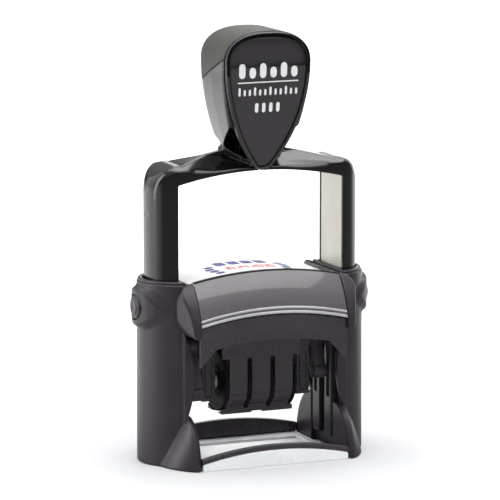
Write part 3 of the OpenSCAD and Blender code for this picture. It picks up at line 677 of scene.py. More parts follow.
card_r = high("index_card")[2] - ARCH_Z
card_y = high("index_card")[1] - 0.4
card_t = 0.3
cover_parts = [arch_sweep(cover_loop(), COVER_X)]
cover_faces = len(cover_parts[0][1])
# two beads along each side of the skirt, in the light grey of a painted highlight
for side in (-1, 1):
    cover_parts.append(arch_sweep(bead_loop(side, 0.62, 0.50), COVER_X))
    cover_parts.append(arch_sweep(bead_loop(side, 0.50, 2.15), COVER_X))
cover_p, cover_f = join_meshes(cover_parts)
cover = piece("arched_cover", cover_p, cover_f, [smoke, clear_top, clear_bead_painted_highlight, wheel_black], ["index_cover"])
for poly in cover.data.polygons:
    away = abs(poly.center[1]) / MM
    depth = ARCH_R - math.hypot(poly.center[0] / MM, poly.center[2] / MM - ARCH_Z)
    if poly.index >= cover_faces:
        poly.material_index = 2
    elif away < card_y or (poly.center[1] > 0 and depth < 2.6):
        poly.material_index = 1
    elif away < card_y + 0.45 or (poly.center[1] < 0 and depth < 0.45):
        poly.material_index = 3
shade_by_angle(cover, 40)

rear_y = TOP_HALF_Y - 1.2
card = piece("card", *arch_sweep([(-card_y, card_r - card_t), (rear_y, card_r - card_t),
                                  (rear_y, card_r), (-card_y, card_r)], high("index_card")[0]),
             card_paper, ["index_card"])
shade_by_angle(card)


# --------------------------------------------------------- printed marks

SEGMENTS = {"0": "abcdef", "1": "bc", "2": "abged", "3": "abgcd", "4": "fgbc",
            "5": "afgcd", "6": "afgedc", "7": "abc", "8": "abcdefg", "9": "abcdfg"}


def digit(char, x, y, w, h):
    """Strokes of a seven-segment numeral as line ends."""
    lines = {"a": ((0, 1), (1, 1)), "b": ((1, 1), (1, 0.5)), "c": ((1, 0.5), (1, 0)),
             "d": ((0, 0), (1, 0)), "e": ((0, 0), (0, 0.5)), "f": ((0, 0.5), (0, 1)),
             "g": ((0, 0.5), (1, 0.5))}
    return [((x + w * a[0], y + h * a[1]), (x + w * b[0], y + h * b[1]))
            for a, b in (lines[s] for s in SEGMENTS[char])]


def numerals(text, x, y, w, h, gap):
    strokes = []
    for char in text:
        if char != " ":
            strokes += digit(char, x, y, w, h)
        x += (w + gap) if char != " " else w * 0.7
    return strokes


def bar(a, b, width, lift, thick, place):
    """A flat rounded bar from a to b, laid on a surface by place(u, v, height)."""
    ax, ay = a
    bx, by = b
    length = math.hypot(bx - ax, by - ay) or 1e-6
    ux, uy = (bx - ax) / length, (by - ay) / length
    turn = math.atan2(uy, ux)
    r = width / 2
    rim = []
    for end, centre in ((1, b), (-1, a)):
        for i in range(5):
            t = turn + (-math.pi / 2 + math.pi * i / 4 if end == 1 else math.pi / 2 + math.pi * i / 4)
            rim.append((centre[0] + r * math.cos(t), centre[1] + r * math.sin(t)))
    n = len(rim)
    points = [place(u, v, lift) for u, v in rim] + [place(u, v, lift + thick) for u, v in rim]
    faces = [list(range(n))[::-1], [n + i for i in range(n)]]
    faces += [[i, (i + 1) % n, n + (i + 1) % n, n + i] for i in range(n)]
    return points, faces


def on_card(u, v, height):
    rho = card_r + height
    return (u, v, ARCH_Z + math.sqrt(rho * rho - u * u))


def heading_marks(top):
    """Plain blocks and dashes in place of wording: heading, side columns, foot line."""
    marks = []
    for i in range(4):
        x = -8.1 + 5.4 * i
        for row in (-2.0, 0, 2.0):
            marks.append(((x - 1.0, top + row), (x + 1.0, top + row), 2.6))
    for side in (-1, 1):
        for i in range(4):
            x = side * (14.9 - 0.8 * abs(i - 1.2))
            marks.append(((x - 0.5, 7.0 - 3.7 * i), (x + 0.5, 7.3 - 3.7 * i), 2.9))
    for i in range(11):
        x = -12.2 + 2.44 * i
        marks.append(((x - 0.8, -9.0), (x + 0.8, -9.0), 0.4))
    return marks


DATE = "10 24 2030"
date_strokes = numerals(DATE, -9.9, -1.0, 1.45, 4.6, 0.85)
print_thick = 0.03
piece("card_print_blue",
      *join_meshes([bar(a, b, w, 0.0, print_thick, on_card) for a, b, w in heading_marks(10.8)]),
      blue_print, body="housing", slot="pad_blue", smooth=False)
piece("card_print_red", *join_meshes([bar(a, b, 0.65, 0.0, print_thick, on_card) for a, b in date_strokes]),
      red_print, body="housing", slot="pad_red", smooth=False)


# ------------------------------------------------------------------- springs

def helix(x0, z0, z1, coil_r, wire_r, turns, per_turn=28, ring=8):
    """A compression spring with closed, nearly flat end turns."""
    points = []
    steps = int(turns * per_turn)
    for i in range(steps + 1):
        t = i / per_turn
        share = i / steps
        eased = min(1.0, max(0.0, (share * turns - 0.9) / (turns - 1.8)))
        z = z0 + wire_r + (z1 - z0 - 2 * wire_r) * eased
        z += wire_r * 1.6 * (min(t, 0.9) - max(0, t - turns + 0.9)) / 0.9
        z = min(max(z, z0 + wire_r), z1 - wire_r)
        a = 2 * math.pi * t
        for k in range(ring):
            b = 2 * math.pi * k / ring
            r = coil_r + wire_r * math.cos(b)
            points.append((x0 + r * math.cos(a), r * math.sin(a), z + wire_r * math.sin(b)))
    return points, tube_faces(steps + 1, ring, flip=True)


spring_lo, spring_hi = low("return_spring_right"), high("return_spring_right")
spring_x = (spring_lo[0] + spring_hi[0]) / 2
spring_low, spring_top = spring_lo[2] + 0.1, spring_hi[2] - 0.3
for side, name in ((1, "right"), (-1, "left")):
    coil = helix(side * spring_x, spring_low, spring_top, 2.1, 0.38, 13)
    spring = piece("press_spring_" + name, *coil, bright_steel, ["return_spring_" + name])
    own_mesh(spring)


# -------------------------------------------------------------------- handle

FRONT_R, FRONT_Z = 170.0, 152.0
BADGE_TOP, BADGE_TIP, BADGE_W = 158.3, 109.4, 15.4


def crown(u, v, half, tall, power):
    """Distance to a superellipse's quarter, for v above zero."""
    a, b = np.maximum(u, 0) / half, np.maximum(v, 0) / tall
    f = np.maximum((a ** power + b ** power) ** (1 / power), 1e-6)
    slope = np.hypot((a / f) ** (power - 1) / half, (b / f) ** (power - 1) / tall)
    return (f - 1) / np.maximum(slope, 0.02)


def knob_form(x, y, z, inset):
    """Teardrop knob: rounded plan that narrows downwards, under one domed crown."""
    side_r, power, straight = 85.0, 2.4, 4.0
    below = np.minimum(z - KNOB_WIDE_Z, 0)
    half = KNOB_W - side_r + np.sqrt(np.maximum(side_r ** 2 - below ** 2, 0)) - 0.05 * np.maximum(y + 4, 0)
    half = np.maximum(half, 0.5)
    back = KNOB_Y - 0.8 - FRONT_R + np.sqrt(FRONT_R ** 2 - np.minimum(z - FRONT_Z, 0) ** 2) - straight
    back = np.maximum(back, 0.5)
    tall = KNOB_TOP - KNOB_WIDE_Z
    a = np.abs(x) / half
    b = np.maximum(y - straight, 0) / back
    c = np.maximum(z - KNOB_WIDE_Z, 0) / tall
    f = np.maximum((a ** power + b ** power + c ** power) ** (1 / power), 1e-6)
    slope = np.sqrt(((a / f) ** (power - 1) / half) ** 2 + ((b / f) ** (power - 1) / back) ** 2
                    + ((c / f) ** (power - 1) / tall) ** 2)
    d = (f - 1) / np.maximum(slope, 0.03)
    return both(d, front_depth(y, z), 2.2) + inset


def pick_form(x, z, grow):
    """Distance to the guitar-pick outline of the badge."""
    ax = np.abs(x)
    r = bow(KNOB_WIDE_Z - BADGE_TIP, BADGE_W - 1.7)
    side = np.hypot(ax - BADGE_W + r, z - KNOB_WIDE_Z) - r
    top = crown(ax, z - KNOB_WIDE_Z, BADGE_W, BADGE_TOP - KNOB_WIDE_Z, 2.5)
    d = np.where(z > KNOB_WIDE_Z, top, side)
    return both(d, BADGE_TIP - z, 0.8) - grow


def front_depth(y, z):
    """Distance in front of the knob's front face, positive outwards."""
    return np.hypot(y - FRONT_R + KNOB_Y, z - FRONT_Z) - FRONT_R


def above_seam(y, z):
    """Distance above the plane where the soft cap meets the core, which falls to the rear."""
    front_y, front_z, rear_y, rear_z = -15.0, 150.0, 7.0, 140.6
    slope = (rear_z - front_z) / (rear_y - front_y)
    return (z - front_z - slope * (y - front_y)) / math.hypot(1, slope)


def seat(x, y, z, grow, deep):
    return both(pick_form(x, z, grow), -front_depth(y, z) - deep)


def under_arch(x, z, grow):
    return np.hypot(x, z - (UNDER_Z - UNDER_R)) - (UNDER_R + grow)


def ridge_side(x, y):
    """Positive outside the slanting ridges that run from the neck to the badge's tip."""
    return (np.abs(x) - 1 - 0.98 * (11 - np.abs(y))) / 1.4


def hoop(x, y, z):
    ax, ay = np.abs(x), np.abs(y)
    shoulder_r, shoulder_z = 11.0, 100
    sx = POCKET_X + LEG_R - shoulder_r
    outline = polygon(ax, z, [
        (-6, LEG_LOW), (-6, 114.9), (11.8, 114.9), (sx - 2.5, 111.25), (sx, shoulder_z + shoulder_r - 0.4),
        (sx + shoulder_r * 0.71, shoulder_z + shoulder_r * 0.71), (sx + shoulder_r, shoulder_z),
        (sx + shoulder_r, LEG_LOW)])
    corner = np.hypot(ax - sx, z - shoulder_z) - shoulder_r
    corner = np.where((ax > sx) & (z > shoulder_z), corner, outline)
    leg_round = np.where(ax > POCKET_X, np.hypot(ax - POCKET_X, y), ay) - LEG_R
    d = both(corner, leg_round, 2.2)
    # channels that run from the shoulders up to the knob, front and rear
    run = np.clip((ax - 8) / 21.0, 0, 1)
    channel = np.hypot(z - (117.2 - 5.2 * run), ay - (13.0 + 0.6 * run)) - (7.6 - 3.9 * run ** 1.5)
    channel = both(channel, ax - 28.5, 2.5)
    channel = both(channel, 0.35 - ridge_side(x, y), 0.8)
    d = cut(d, channel, 1.3)
    window = both(ax - LEG_FLAT, under_arch(x, z, 0), 0.4)
    return cut(d, window, 0.7)


def handle_body(x, y, z):
    ax, ay = np.abs(x), np.abs(y)
    knob = both(knob_form(x, y, z, 0), above_seam(y, z) + 0.12, 0.15)
    knob = both(knob, 112.0 - z, 0)
    core = both(knob_form(x, y, z, 2.3), 125 - z)
    d = either(hoop(x, y, z), knob, 2.2)
    d = either(d, core)
    # hollow behind the badge: under a slanting lid, above the ridge, outside the neck
    ridge_z = 109.4 + (11 - ay) * 0.42
    lid = (z - (118.0 + (ay - 3) * 0.62)) / 1.18
    hollow = both(both(lid, 1.5 - ay, 1.0), 4.2 - ax, 1.0)
    over_ridge = both(hollow, ridge_z - z)
    behind = both(both(hollow, ridge_z - 2.6 - z, 0.6), ridge_side(x, y) + 0.45, 0.4)
    d = cut(d, np.minimum(over_ridge, behind), 0.35)
    start, end = np.array([10.8, 2.0, 115.2]), np.array([1.5, 10.6, 109.5])
    along = end - start
    t = sum((v - s0) * step for v, s0, step in zip((ax, ay, z), start, along)) / (along @ along)
    t = np.clip(t, 0, 1)
    ridge = np.sqrt(sum((v - s0 - t * step) ** 2 for v, s0, step in zip((ax, ay, z), start, along)))
    d = either(d, ridge - (1.15 - 0.35 * t), 1.1)
    d = cut(d, seat(x, y, z, 1.35, 1.25), 0.12)
    steel_bed = both(ax - STEEL_OUT - 0.05, under_arch(x, z, 1.85))
    steel_bed = both(steel_bed, ay - STEEL_Y - 0.05)
    d = cut(d, steel_bed, 0.12)
    cavity = leg_plan(ax, y, LEG_R - 1.8, LEG_FLAT, 0)
    cavity = both(cavity, np.minimum(slab(z, LEG_LOW - 5, 66), slab(z, 67.6, 98)))
    d = cut(d, cavity, 0.2)
    # shallow oval recess on each leg's outer side
    recess = np.sqrt(((ax - POCKET_X - LEG_R - 0.3) / 1.1) ** 2 + (y / 6.5) ** 2 + ((z - 92.6) / 1.7) ** 2)
    return cut(d, (recess - 1) * 1.2, 0.15)


def cap(x, y, z):
    d = both(knob_form(x, y, z, -0.08), -above_seam(y, z) + 0.05, 0.35)
    d = cut(d, knob_form(x, y, z, 2.2))
    return cut(d, seat(x, y, z, 1.35, 1.25), 0.15)


def badge(x, y, z):
    depth = front_depth(y, z)
    d = both(pick_form(x, z, -0.35), depth - 0.35, 0.35)
    return both(d, -depth - 1.1)


def bezel(x, y, z):
    depth = front_depth(y, z)
    outline = pick_form(x, z, 1.3)
    d = both(outline, depth - 0.9, 0.65)
    d = both(d, -depth - 1.15)
    return cut(d, pick_form(x, z, 0.0), 0.3)


moulded("handle_moulding", handle_body, 0.46, gloss, ["hoop_shell", "knob_core"], relax=3)
moulded("soft_cap", cap, 0.42, soft_touch, ["knob_cap"], relax=3)
moulded("badge_plate", badge, 0.34, badge_face, ["knob_badge"])
moulded("badge_rim", bezel, 0.24, rim_black, ["badge_bezel"])


def on_badge(u, v, height):
    y = FRONT_R - KNOB_Y - math.sqrt((FRONT_R + height) ** 2 - (v - FRONT_Z) ** 2)
    return (u, y, v)


def badge_marks():
    """Silver rule with plain blocks and bars above and below it."""
    marks = [((-11.8, 141.4), (11.8, 141.4), 0.45)]
    for i in range(6):
        x = -10.3 + 4.12 * i
        tall = 3.1 if i % 2 == 0 else 1.6
        marks.append(((x, 144.1), (x, 144.1 + tall), 2.5))
    for i in range(12):
        x = -11.2 + 2.036 * i
        tall = 2.3 if i % 3 == 0 else 1.5
        marks.append(((x, 136.9), (x, 136.9 + tall), 0.85))
    for i in range(4):
        x = -4.2 + 2.8 * i
        marks.append(((x, 130.8), (x, 133.1), 1.35))
    return marks


piece("badge_marks", *join_meshes([bar(a, b, w, 0.30, 0.13, on_badge) for a, b, w in badge_marks()]),
      silver, body="handle", slot="steel", smooth=False)


def steel_bar():
    """One bent strip: up the right leg, under the hoop, down the left leg."""
    zc = UNDER_Z - UNDER_R
    z0 = low("steel_bracket")[2]
    leg_steps, arch_steps = 12, 41

    def faces_at(share):
        """(x, z) of the strip's inner and outer face, at a share of the half width."""
        return [(x * share, zc + math.sqrt((UNDER_R + lift) ** 2 - (x * share) ** 2))
                for x, lift in ((STEEL_IN, 0.2), (STEEL_OUT, 1.8))]

    corner = faces_at(1)
    leg = [[(x, z0 + (z - z0) * i / leg_steps) for x, z in corner] for i in range(leg_steps + 1)]
    arch = [faces_at(1 - 2 * i / arch_steps) for i in range(1, arch_steps)]
    stations = leg + arch + [[(-x, z) for x, z in pair] for pair in leg[::-1]]
    points = []
    for (xa, za), (xb, zb) in stations:
        points += [(xa, -STEEL_Y, za), (xb, -STEEL_Y, zb), (xb, STEEL_Y, zb), (xa, STEEL_Y, za)]
    return points, tube_faces(len(stations), 4)


strip = piece("steel_bar", *steel_bar(), steel, ["steel_bracket"])
ease_edges(strip, 0.25)
shade_by_angle(strip, 40)


def rod(name, node, y, z, chamfer):
    """A pin with eased ends, as long and as thick as its node."""
    x0, x1 = low(node)[0], high(node)[0]
    r = (high(node)[2] - low(node)[2]) / 2
    profile = [(x0, r - chamfer), (x0 + chamfer * 0.4, r - chamfer * 0.35), (x0 + chamfer, r),
               (x1 - chamfer, r), (x1 - chamfer * 0.4, r - chamfer * 0.35), (x1, r - chamfer)]
    shade_by_angle(piece(name, *lathe_x(profile, y, z), bright_steel, [node]), 50)


for name in ("right", "left"):
    rod("pivot_" + name, "pivot_pin_" + name, 0, AXIS_Z, 0.3)
    rod("cam_" + name, "cam_pin_" + name, *middle("cam_pin_" + name)[1:], 0.25)


def bush(x, y, z):
    d = leg_plan(x, y, POCKET_R - 0.08, STEEL_OUT + 0.05, 0.2)
    d = both(d, slab(z, 39, 50), 0.5)
    hole = np.minimum(np.hypot(x - spring_x, y) - 2.9, both(np.abs(y) - 2.9, x - spring_x))
    return cut(d, hole, 0.2)


moulded_pair(sides("shoe_{}"), bush, 0.35, axle_grey, sides("slide_bush_{}"))


# ------------------------------------------------------------------ carriage

CHEEK_IN, CHEEK_OUT, CHEEK_Y, CHEEK_LOW = 16.3, 21.7, 5.7, 21.8
ARM_IN, ARM_OUT = 22.4, 27.6
CAM_AT = {1: middle("cam_pin_right")[1:], -1: middle("cam_pin_left")[1:]}
HUB_OUT = high("carriage_frame")[0]
FLANGE_X, FLANGE_Y = 24.8, 13.0


def carriage(x, y, z):
    ax = np.abs(x)
    cheek = polygon(ax, z, [(CHEEK_IN, CHEEK_LOW), (CHEEK_OUT, CHEEK_LOW), (CHEEK_OUT, 39),
                            (ARM_IN + 1, FLANGE_LOW + 1), (CHEEK_IN, FLANGE_LOW + 1)])
    d = both(cheek, np.abs(y) - CHEEK_Y, 0.5)
    arm = 1e3
    for side, (cy, cz) in CAM_AT.items():
        beam = polygon(y, z, [(-3.4, AXIS_Z + 1), (3.4, AXIS_Z - 1),
                              (cy + 2.1, cz - 0.3), (cy - 2.1, cz + 0.3)])
        beam = either(beam, np.hypot(y - cy, z - cz) - 2.6, 0.5)
        beam = both(beam, slab(side * x, ARM_IN, ARM_OUT), 0.5)
        arm = np.minimum(arm, cut(beam, both(np.hypot(y - cy, z - cz) - 1.22, ARM_OUT - 3 - side * x), 0.1))
    hub = both(np.hypot(y, z - AXIS_Z) - 4.4, slab(ax, ARM_IN, HUB_OUT), 0.5)
    d = either(d, either(arm, hub, 0.5), 0.3)
    web = block(ax, y, z, (CHEEK_OUT - 1, -3, 36), (FLANGE_X - 0.6, 3, FLANGE_LOW + 1), 0.3)
    d = either(d, web, 0.4)
    flange = block(x, y, z, (-FLANGE_X, -FLANGE_Y, FLANGE_LOW), (FLANGE_X, FLANGE_Y, FLANGE_TOP), 0.45)
    flange = cut(flange, both(ax - 13.2, np.abs(y) - 6.5, 0.4), 0.2)
    d = either(d, flange, 0.4)
    d = cut(d, both(np.hypot(y, z - AXIS_Z) - 1.85, 25.2 - ax), 0.2)
    d = cut(d, both(np.hypot(y, z - AXLE_Z) - 1.52, ax - 20.9), 0.15)
    # shallow relief panels in the cheeks' front and rear faces
    panel = both(slab(ax, CHEEK_IN + 1.3, CHEEK_OUT - 1.3), slab(z, CHEEK_LOW + 1.6, 37.5), 0.6)
    return cut(d, both(panel, CHEEK_Y - 0.4 - np.abs(y)), 0.2)


moulded("carriage_body", carriage, 0.40, inner_gloss, ["carriage_frame"])


def guard(x, y, z):
    ax = np.abs(x)
    wall, bend, bend_y, bend_z = 1.0, 8.0, -3.0, 27.0
    rho = np.hypot(y, z - AXLE_Z)
    turn = np.hypot(y - bend_y, z - bend_z)
    shell = np.where(z > bend_z, slab(y, -GUARD_R, -GUARD_R + wall), slab(turn, bend - wall, bend))
    d = both(shell, y - bend_y, 0.2)
    lip = block(x, y, z, (-14.3, -6.8, GUARD_LOW), (14.3, -1.6, bend_z - bend + 0.9), 0.35)
    d = either(d, lip, 0.4)
    d = both(d, both(GUARD_LOW - z, z - FLANGE_LOW + 0.02, 0), 0.2)
    d = both(d, ax - GUARD_X, 0.35)
    sweep = both(np.minimum(rho - WHEEL_R - 0.3, AXLE_Z - z), z - 38.2)
    d = cut(d, both(slab(ax, 4.6 - 0.9, 4.6 + 0.9), sweep, 0.4), 0.2)
    d = cut(d, both(13.6 - 0.9 - ax, sweep, 0.3), 0.25)
    notch = both(ax - 2.2, z - GUARD_LOW - 0.6, 0.4)
    return cut(d, notch, 0.2)


moulded_pair(["guard_front", "guard_rear"], guard, 0.26, inner_gloss, ["front_guard", "rear_guard"], axis=1)

plate_lo, plate_hi = low("text_plate"), high("text_plate")


def text_plate(x, y, z):
    d = block(x, y, z, plate_lo, plate_hi, 0.35)
    return cut(d, both(np.abs(x) - 13, np.abs(y) - 2.9, 0.4), 0.2)


moulded("die_plate", text_plate, 0.35, plate_grey, ["text_plate"], relax=1)

die_lo, die_hi = low("rubber_die"), high("rubber_die")


def on_die(u, v, height):
    return (-u, v, die_lo[2] + height)


def boxes_round(hole_x, hole_y, lo, hi):
    """Four boxes that fill lo to hi, but for a middle hole of the given half sizes."""
    (x0, y0, z0), (x1, y1, z1) = lo, hi
    faces = [[0, 1, 3, 2], [4, 6, 7, 5], [0, 4, 5, 1], [2, 3, 7, 6], [0, 2, 6, 4], [1, 5, 7, 3]]
    spans = (((x0, x1), (y0, -hole_y)), ((x0, x1), (hole_y, y1)),
             ((x0, -hole_x), (-hole_y, hole_y)), ((hole_x, x1), (-hole_y, hole_y)))
    return [(list(itertools.product(xs, ys, (z0, z1))), faces) for xs, ys in spans]


skin = 0.4                              # rubber sheet under the raised marks
skin_z = die_lo[2] + skin
line, frame_x, frame_y = 0.8, 19.0, 11.6        # printed frame's width and half sizes
sheet = boxes_round(13.0, 2.9, die_lo, (die_hi[0], die_hi[1], skin_z))
border = boxes_round(frame_x - line, frame_y - line, (-frame_x, -frame_y, skin_z), (frame_x, frame_y, DIE_Z))
relief = [bar(a, b, width, skin - 0.01, DIE_Z - skin_z, on_die) for a, b, width in heading_marks(8.6)]
relief = [(p, [face[::-1] for face in f]) for p, f in relief]
die = piece("rubber_relief", *join_meshes(sheet + border + relief), die_rubber, ["rubber_die"], smooth=False)
ease_edges(die, 0.08)


def band_field(x0, x1):
    """Closed belt round a drum and over the anvil's nose, with raised character pads."""
    def tangent(half, top, r):
        d = np.array([half, top - AXLE_Z])
        a = math.atan2(d[1], d[0]) - math.acos(r / np.linalg.norm(d))
        return r * math.cos(a), AXLE_Z + r * math.sin(a)

    def loop(y, z, r, half, top):
        ty, tz = tangent(half, top, r)
        wedge = polygon(np.abs(y), z, [(-6, top), (half, top), (ty, tz), (0, AXLE_Z), (-6, AXLE_Z)])
        return np.minimum(np.hypot(y, z - AXLE_Z) - r, wedge)

    def field(x, y, z):
        belt = cut(loop(y, z, 8.1, 2.3, DIE_Z - 0.9), loop(y, z, 7.2, 1.55, DIE_Z - 1.8), 0.15)
        belt = both(belt, slab(x, x0, x1), 0.2)
        pads = block(x, y, z, (x0 + 0.3, -1.9, DIE_Z - 1.2), (x1 - 0.3, 1.9, DIE_Z), 0.15)
        for degrees in range(200, 345, 28):
            a = math.radians(degrees)
            u = y * math.cos(a) + (z - AXLE_Z) * math.sin(a)
            v = -y * math.sin(a) + (z - AXLE_Z) * math.cos(a)
            pads = np.minimum(pads, block(x, v, u, (x0 + 0.3, -1.3, 7.8), (x1 - 0.3, 1.3, 8.85), 0.2))
        return either(belt, pads, 0.1)
    return field


SETTERS = ("month", "tens", "units", "year")
for name in SETTERS:
    node = name + "_band"
    moulded("belt_" + name, band_field(low(node)[0], high(node)[0]), 0.30, band_rubber, [node], relax=1)

anvil_low, anvil_hi = low("band_anvil")[2], high("band_anvil")


def anvil_field(x, y, z):
    section = polygon(np.abs(y), z, [(-3, anvil_low), (2.2, anvil_low),
                                     (1.4, anvil_hi[2]), (-3, anvil_hi[2])])
    return both(section, np.abs(x) - anvil_hi[0], 0.2)


moulded("anvil", anvil_field, 0.35, inner_gloss, ["band_anvil"], relax=1)


def axle_profile():
    """Thin axle with a thicker hub between each cheek and its end wheel."""
    end, hub_in, hub_out, hub_r, axle_r = low("wheel_axle")[0], -14.3, 0.02 - CHEEK_IN, 3.2, 1.5
    left = [(end, axle_r - 0.3), (end + 0.3, axle_r), (hub_out, axle_r), (hub_out, hub_r - 0.2),
            (hub_out + 0.2, hub_r), (hub_in - 0.2, hub_r), (hub_in, hub_r - 0.2), (hub_in, axle_r)]
    return left + [(-x, r) for x, r in left[::-1]]


shade_by_angle(piece("axle", *lathe_x(axle_profile(), 0, AXLE_Z), axle_grey, ["wheel_axle"]), 40)


def wheel_mesh(centre, drum_from, drum_to, knurls=72):
    """Knurled disc with chamfered rims and a drum on the band's side, bored for the axle."""
    half, deep = 0.6, 0.45
    drum, bore = 7.15, 1.55
    side = 1 if (drum_from + drum_to) / 2 > centre else -1
    far = drum_to if side > 0 else drum_from
    rim = [(-half, bore), (-half, 5.6), (0.25 - half, 6.0), (0.25 - half, 9.2), (-half, 9.6),
           (-half, WHEEL_R - 0.35), (0.3 - half, WHEEL_R), (half - 0.3, WHEEL_R), (half, WHEEL_R - 0.35),
           (half, drum)]
    profile = [(centre + side * x, r) for x, r in rim]
    profile += [(far - side * 0.2, drum), (far, drum - 0.2), (far, bore)]

    def groove(r, step):
        phase = (step % 6) / 6
        return deep * (0.5 - 0.5 * math.cos(2 * math.pi * phase)) ** 0.7 if r > WHEEL_R - 0.5 else 0

    return lathe_x(profile, 0, AXLE_Z, knurls * 6, groove, flip=side < 0, closed=True)


for name in SETTERS:
    band_lo, band_hi = low(name + "_band")[0], high(name + "_band")[0]
    node = name + "_wheel"
    lo, hi = low(node)[0], high(node)[0]
    centre = lo + 0.6 if abs(hi - band_hi) < 0.01 else hi - 0.6
    shade_by_angle(piece("knurled_" + name, *wheel_mesh(centre, band_lo, band_hi), wheel_black, [node]), 30)


# --------------------------------------------------- buttons and ink cartridge

def button(x, y, z):
    r = np.hypot(y, z - BUTTON_Z)
    d = both(r - BUTTON_R, 43.0 - x, 0.2)
    dome = np.sqrt((x - BUTTON_X + 14) ** 2 + r ** 2) - 14
    d = both(d, dome, 0.7)
    groove = np.abs(r - 3.1) - 0.22
    groove = both(both(groove, BUTTON_X - 0.55 - x), z - BUTTON_Z + 0.3 * y + 0.2)
    d = cut(d, groove, 0.1)
    return cut(d, np.sqrt((x - BUTTON_X - 5.4) ** 2 + y ** 2 + (z - BUTTON_Z) ** 2) - 5.9, 0.2)


moulded_pair(sides("push_button_{}"), button, 0.20, satin, sides("lock_button_{}"))

GRIP_IN, GRIP_OUT = 112.3, 120.8
GRIP_Y = -low("cartridge_tray")[1]
TRAY_BACK = high("cartridge_tray")[1]


def grip(x, y, z):
    rho = np.hypot(x, z - ARCH_Z)
    ax = np.abs(x)
    rim = GRIP_OUT + 0.7
    belly = (rho - (GRIP_IN + rim) / 2) ** 2 / 45.0
    front = slab(y + belly, -GRIP_Y, -GRIP_Y + 1.3 + belly)
    face = both(both(slab(rho, GRIP_IN, rim), front, 0.35), ax - GUIDE_X + 0.1, 0.3)
    return either(face, both(corner_wing(ax, z), slab(y, -GRIP_Y + 0.15, -GRIP_Y + 1.3), 0.3), 0.3)


def tray(x, y, z):
    rho = np.hypot(x, z - ARCH_Z)
    ax = np.abs(x)
    box = both(rho - GRIP_OUT, both(ax - GUIDE_X + 2, slab(y, -GRIP_Y + 1.0, TRAY_BACK), 0.4), 0.3)
    box = both(box, PAD_Z + 0.2 - z, 0.2)
    well = both(both(ax - 24.1, np.abs(y) - 13.6, 0.3), z - PAD_Z - 1.8)
    d = cut(box, well, 0.1)
    rails = both(both(slab(ax, 25.2, GUIDE_X - 2), np.abs(y) - 19, 0.2), slab(z, PAD_Z, PAD_Z + 1))
    return either(d, rails, 0.1)


tray_lo, tray_hi = low("cartridge_tray"), high("cartridge_tray")
grip_hi = np.array([tray_hi[0], tray_lo[1] + 1.4, tray_hi[2] + 0.8])
moulded("cartridge_grip", grip, 0.24, inner_gloss, ["cartridge_tray"], hi=grip_hi)
moulded("cartridge", tray, 0.45, inner_gloss, ["cartridge_tray"])


def blue_pad(x, y, z):
    d = block(x, y, z, low("text_pad"), high("text_pad"), 0.4)
    return cut(d, both(np.abs(x) - 13.1, np.abs(y) - 3.1, 0.3), 0.2)


def red_pad(x, y, z):
    return block(x, y, z, low("date_pad"), high("date_pad"), 0.4)


moulded("felt_blue", blue_pad, 0.40, felt_blue, ["text_pad"], relax=1)
moulded("felt_red", red_pad, 0.30, felt_red, ["date_pad"], relax=1)


# ------------------------------------------------------------- stage and light

def floor_material():
    """Painted light on the floor: for the camera it greys towards the stamp and glows plain white away from
    it, and glossy parts reflect a floor painted dark in front.
    """
    material, tree, shader = nodes_of("pale_floor")
    here = add(tree, "TexCoord").outputs["Object"]
    away = add(tree, "VectorMath", {0: here}, operation="LENGTH").outputs["Value"]
    ray = add(tree, "LightPath")
    to_camera, to_gloss = ray.outputs["Is Camera Ray"], ray.outputs["Is Glossy Ray"]
    # painted reflection: glossy rays see a floor that is dark in front and bright at the left and behind
    axes = add(tree, "SeparateXYZ", {"Vector": here})
    leftwards = ramp(tree, axes.outputs["X"], -1.0, 0.50, 0.0, 0.0)
    bright = ramp(tree, maths(tree, "ADD", leftwards, axes.outputs["Y"]), -0.02, 0.20, 0.20, 0.90)
    shade = maths(tree, "MULTIPLY", maths(tree, "SUBTRACT", 1.0, bright, clamp=True), to_gloss)
    # painted shade: the camera sees the floor darker (0.62) than other rays do (0.92)
    pale = mix_colour(tree, to_camera, (0.92, 0.92, 0.92), (0.62, 0.62, 0.625))
    # painted shade and glow for the camera: little glow near the stamp, so the floor greys towards it, fading
    # in to glowing plain white further out, and a painted glow brightens the floor in the base's window
    fade = ramp(tree, away, 0.06, 0.04, 0.28, 0.9)
    window_glow = ramp(tree, away, 0.014, 0.40, 0.029, 0.0)
    glow = maths(tree, "MULTIPLY", maths(tree, "ADD", fade, window_glow), to_camera)
    wire(tree, shader, {"Base Color": mix_colour(tree, shade, pale, (0.0, 0.0, 0.0)), "Roughness": 0.7,
                        "Specular IOR Level": 0.0, "Emission Color": (1, 1, 1), "Emission Strength": glow})
    return material


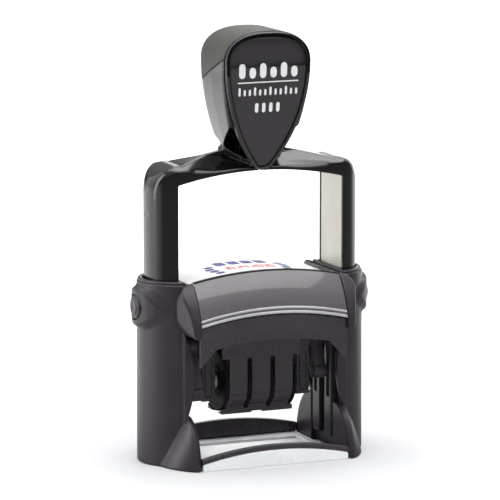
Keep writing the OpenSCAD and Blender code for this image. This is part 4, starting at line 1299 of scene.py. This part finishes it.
def studio_world():
    """Brighter overhead than at the horizon; the camera itself sees plain white."""
    world = bpy.data.worlds.new("studio")
    world.use_nodes = True
    tree = world.node_tree
    split = add(tree, "SeparateXYZ", {"Vector": add(tree, "TexCoord").outputs["Generated"]})
    sky = tree.nodes["Background"]
    wire(tree, sky, {"Color": (0.96, 0.98, 1.0),
                     "Strength": ramp(tree, split.outputs["Z"], 0.10, 0.10, 0.85, 0.85)})
    white = add(tree, "Background", {"Color": (1, 1, 1)})
    mixer = add(tree, "MixShader", {0: add(tree, "LightPath").outputs["Is Camera Ray"],
                                    1: sky.outputs["Background"], 2: white.outputs["Background"]})
    wire(tree, tree.nodes["World Output"], {"Surface": mixer.outputs["Shader"]})
    return world


def soft_box(name, place, target, size, power):
    data = bpy.data.lights.new(name, "AREA")
    data.shape = "RECTANGLE"
    data.size, data.size_y = size
    data.energy = power
    light = bpy.data.objects.new(name, data)
    light.location = place
    light.rotation_euler = (Vector(target) - Vector(place)).to_track_quat("-Z", "Y").to_euler()
    bpy.context.scene.collection.objects.link(light)


floor_mesh = bpy.data.meshes.new("floor")
floor_mesh.from_pydata([(-6, -6, 0), (6, -6, 0), (6, 6, 0), (-6, 6, 0)], [], [(0, 1, 2, 3)])
floor_mesh.materials.append(floor_material())
floor = bpy.data.objects.new("floor", floor_mesh)
floor.location.z = -0.00005
bpy.context.scene.collection.objects.link(floor)

mid_height = (0, 0, 0.08)
soft_box("key_top", (0.05, -0.02, 0.90), (0.05, 0.0, 0.0), (1.1, 1.3), 12)
soft_box("side_left", (-0.72, 0.20, 0.22), mid_height, (0.26, 0.75), 2.4)
soft_box("side_right", (0.70, 0.25, 0.22), mid_height, (0.12, 0.75), 1.0)
soft_box("rear_left", (-0.55, 0.65, 0.30), mid_height, (0.6, 0.8), 1.3)
soft_box("rear_right", (0.45, 0.70, 0.35), mid_height, (0.5, 0.8), 1.6)

scene = bpy.context.scene
scene.world = studio_world()
scene.view_settings.view_transform = "Standard"
scene.view_settings.look = "None"

camera_data = bpy.data.cameras.new("camera")
camera_data.lens = 291.2
camera_data.sensor_width = 36
camera_data.clip_end = 20
camera = bpy.data.objects.new("camera", camera_data)
azimuth, pitch, reach = math.radians(-22.86), math.radians(9.62), 1.5
aim_z = 0.0766
back = np.array([math.sin(azimuth) * math.cos(pitch), -math.cos(azimuth) * math.cos(pitch), math.sin(pitch)])
camera.location = back * reach + np.array([0, 0, aim_z])
camera.rotation_euler = (math.pi / 2 - pitch, 0, azimuth)
scene.collection.objects.link(camera)
scene.camera = camera
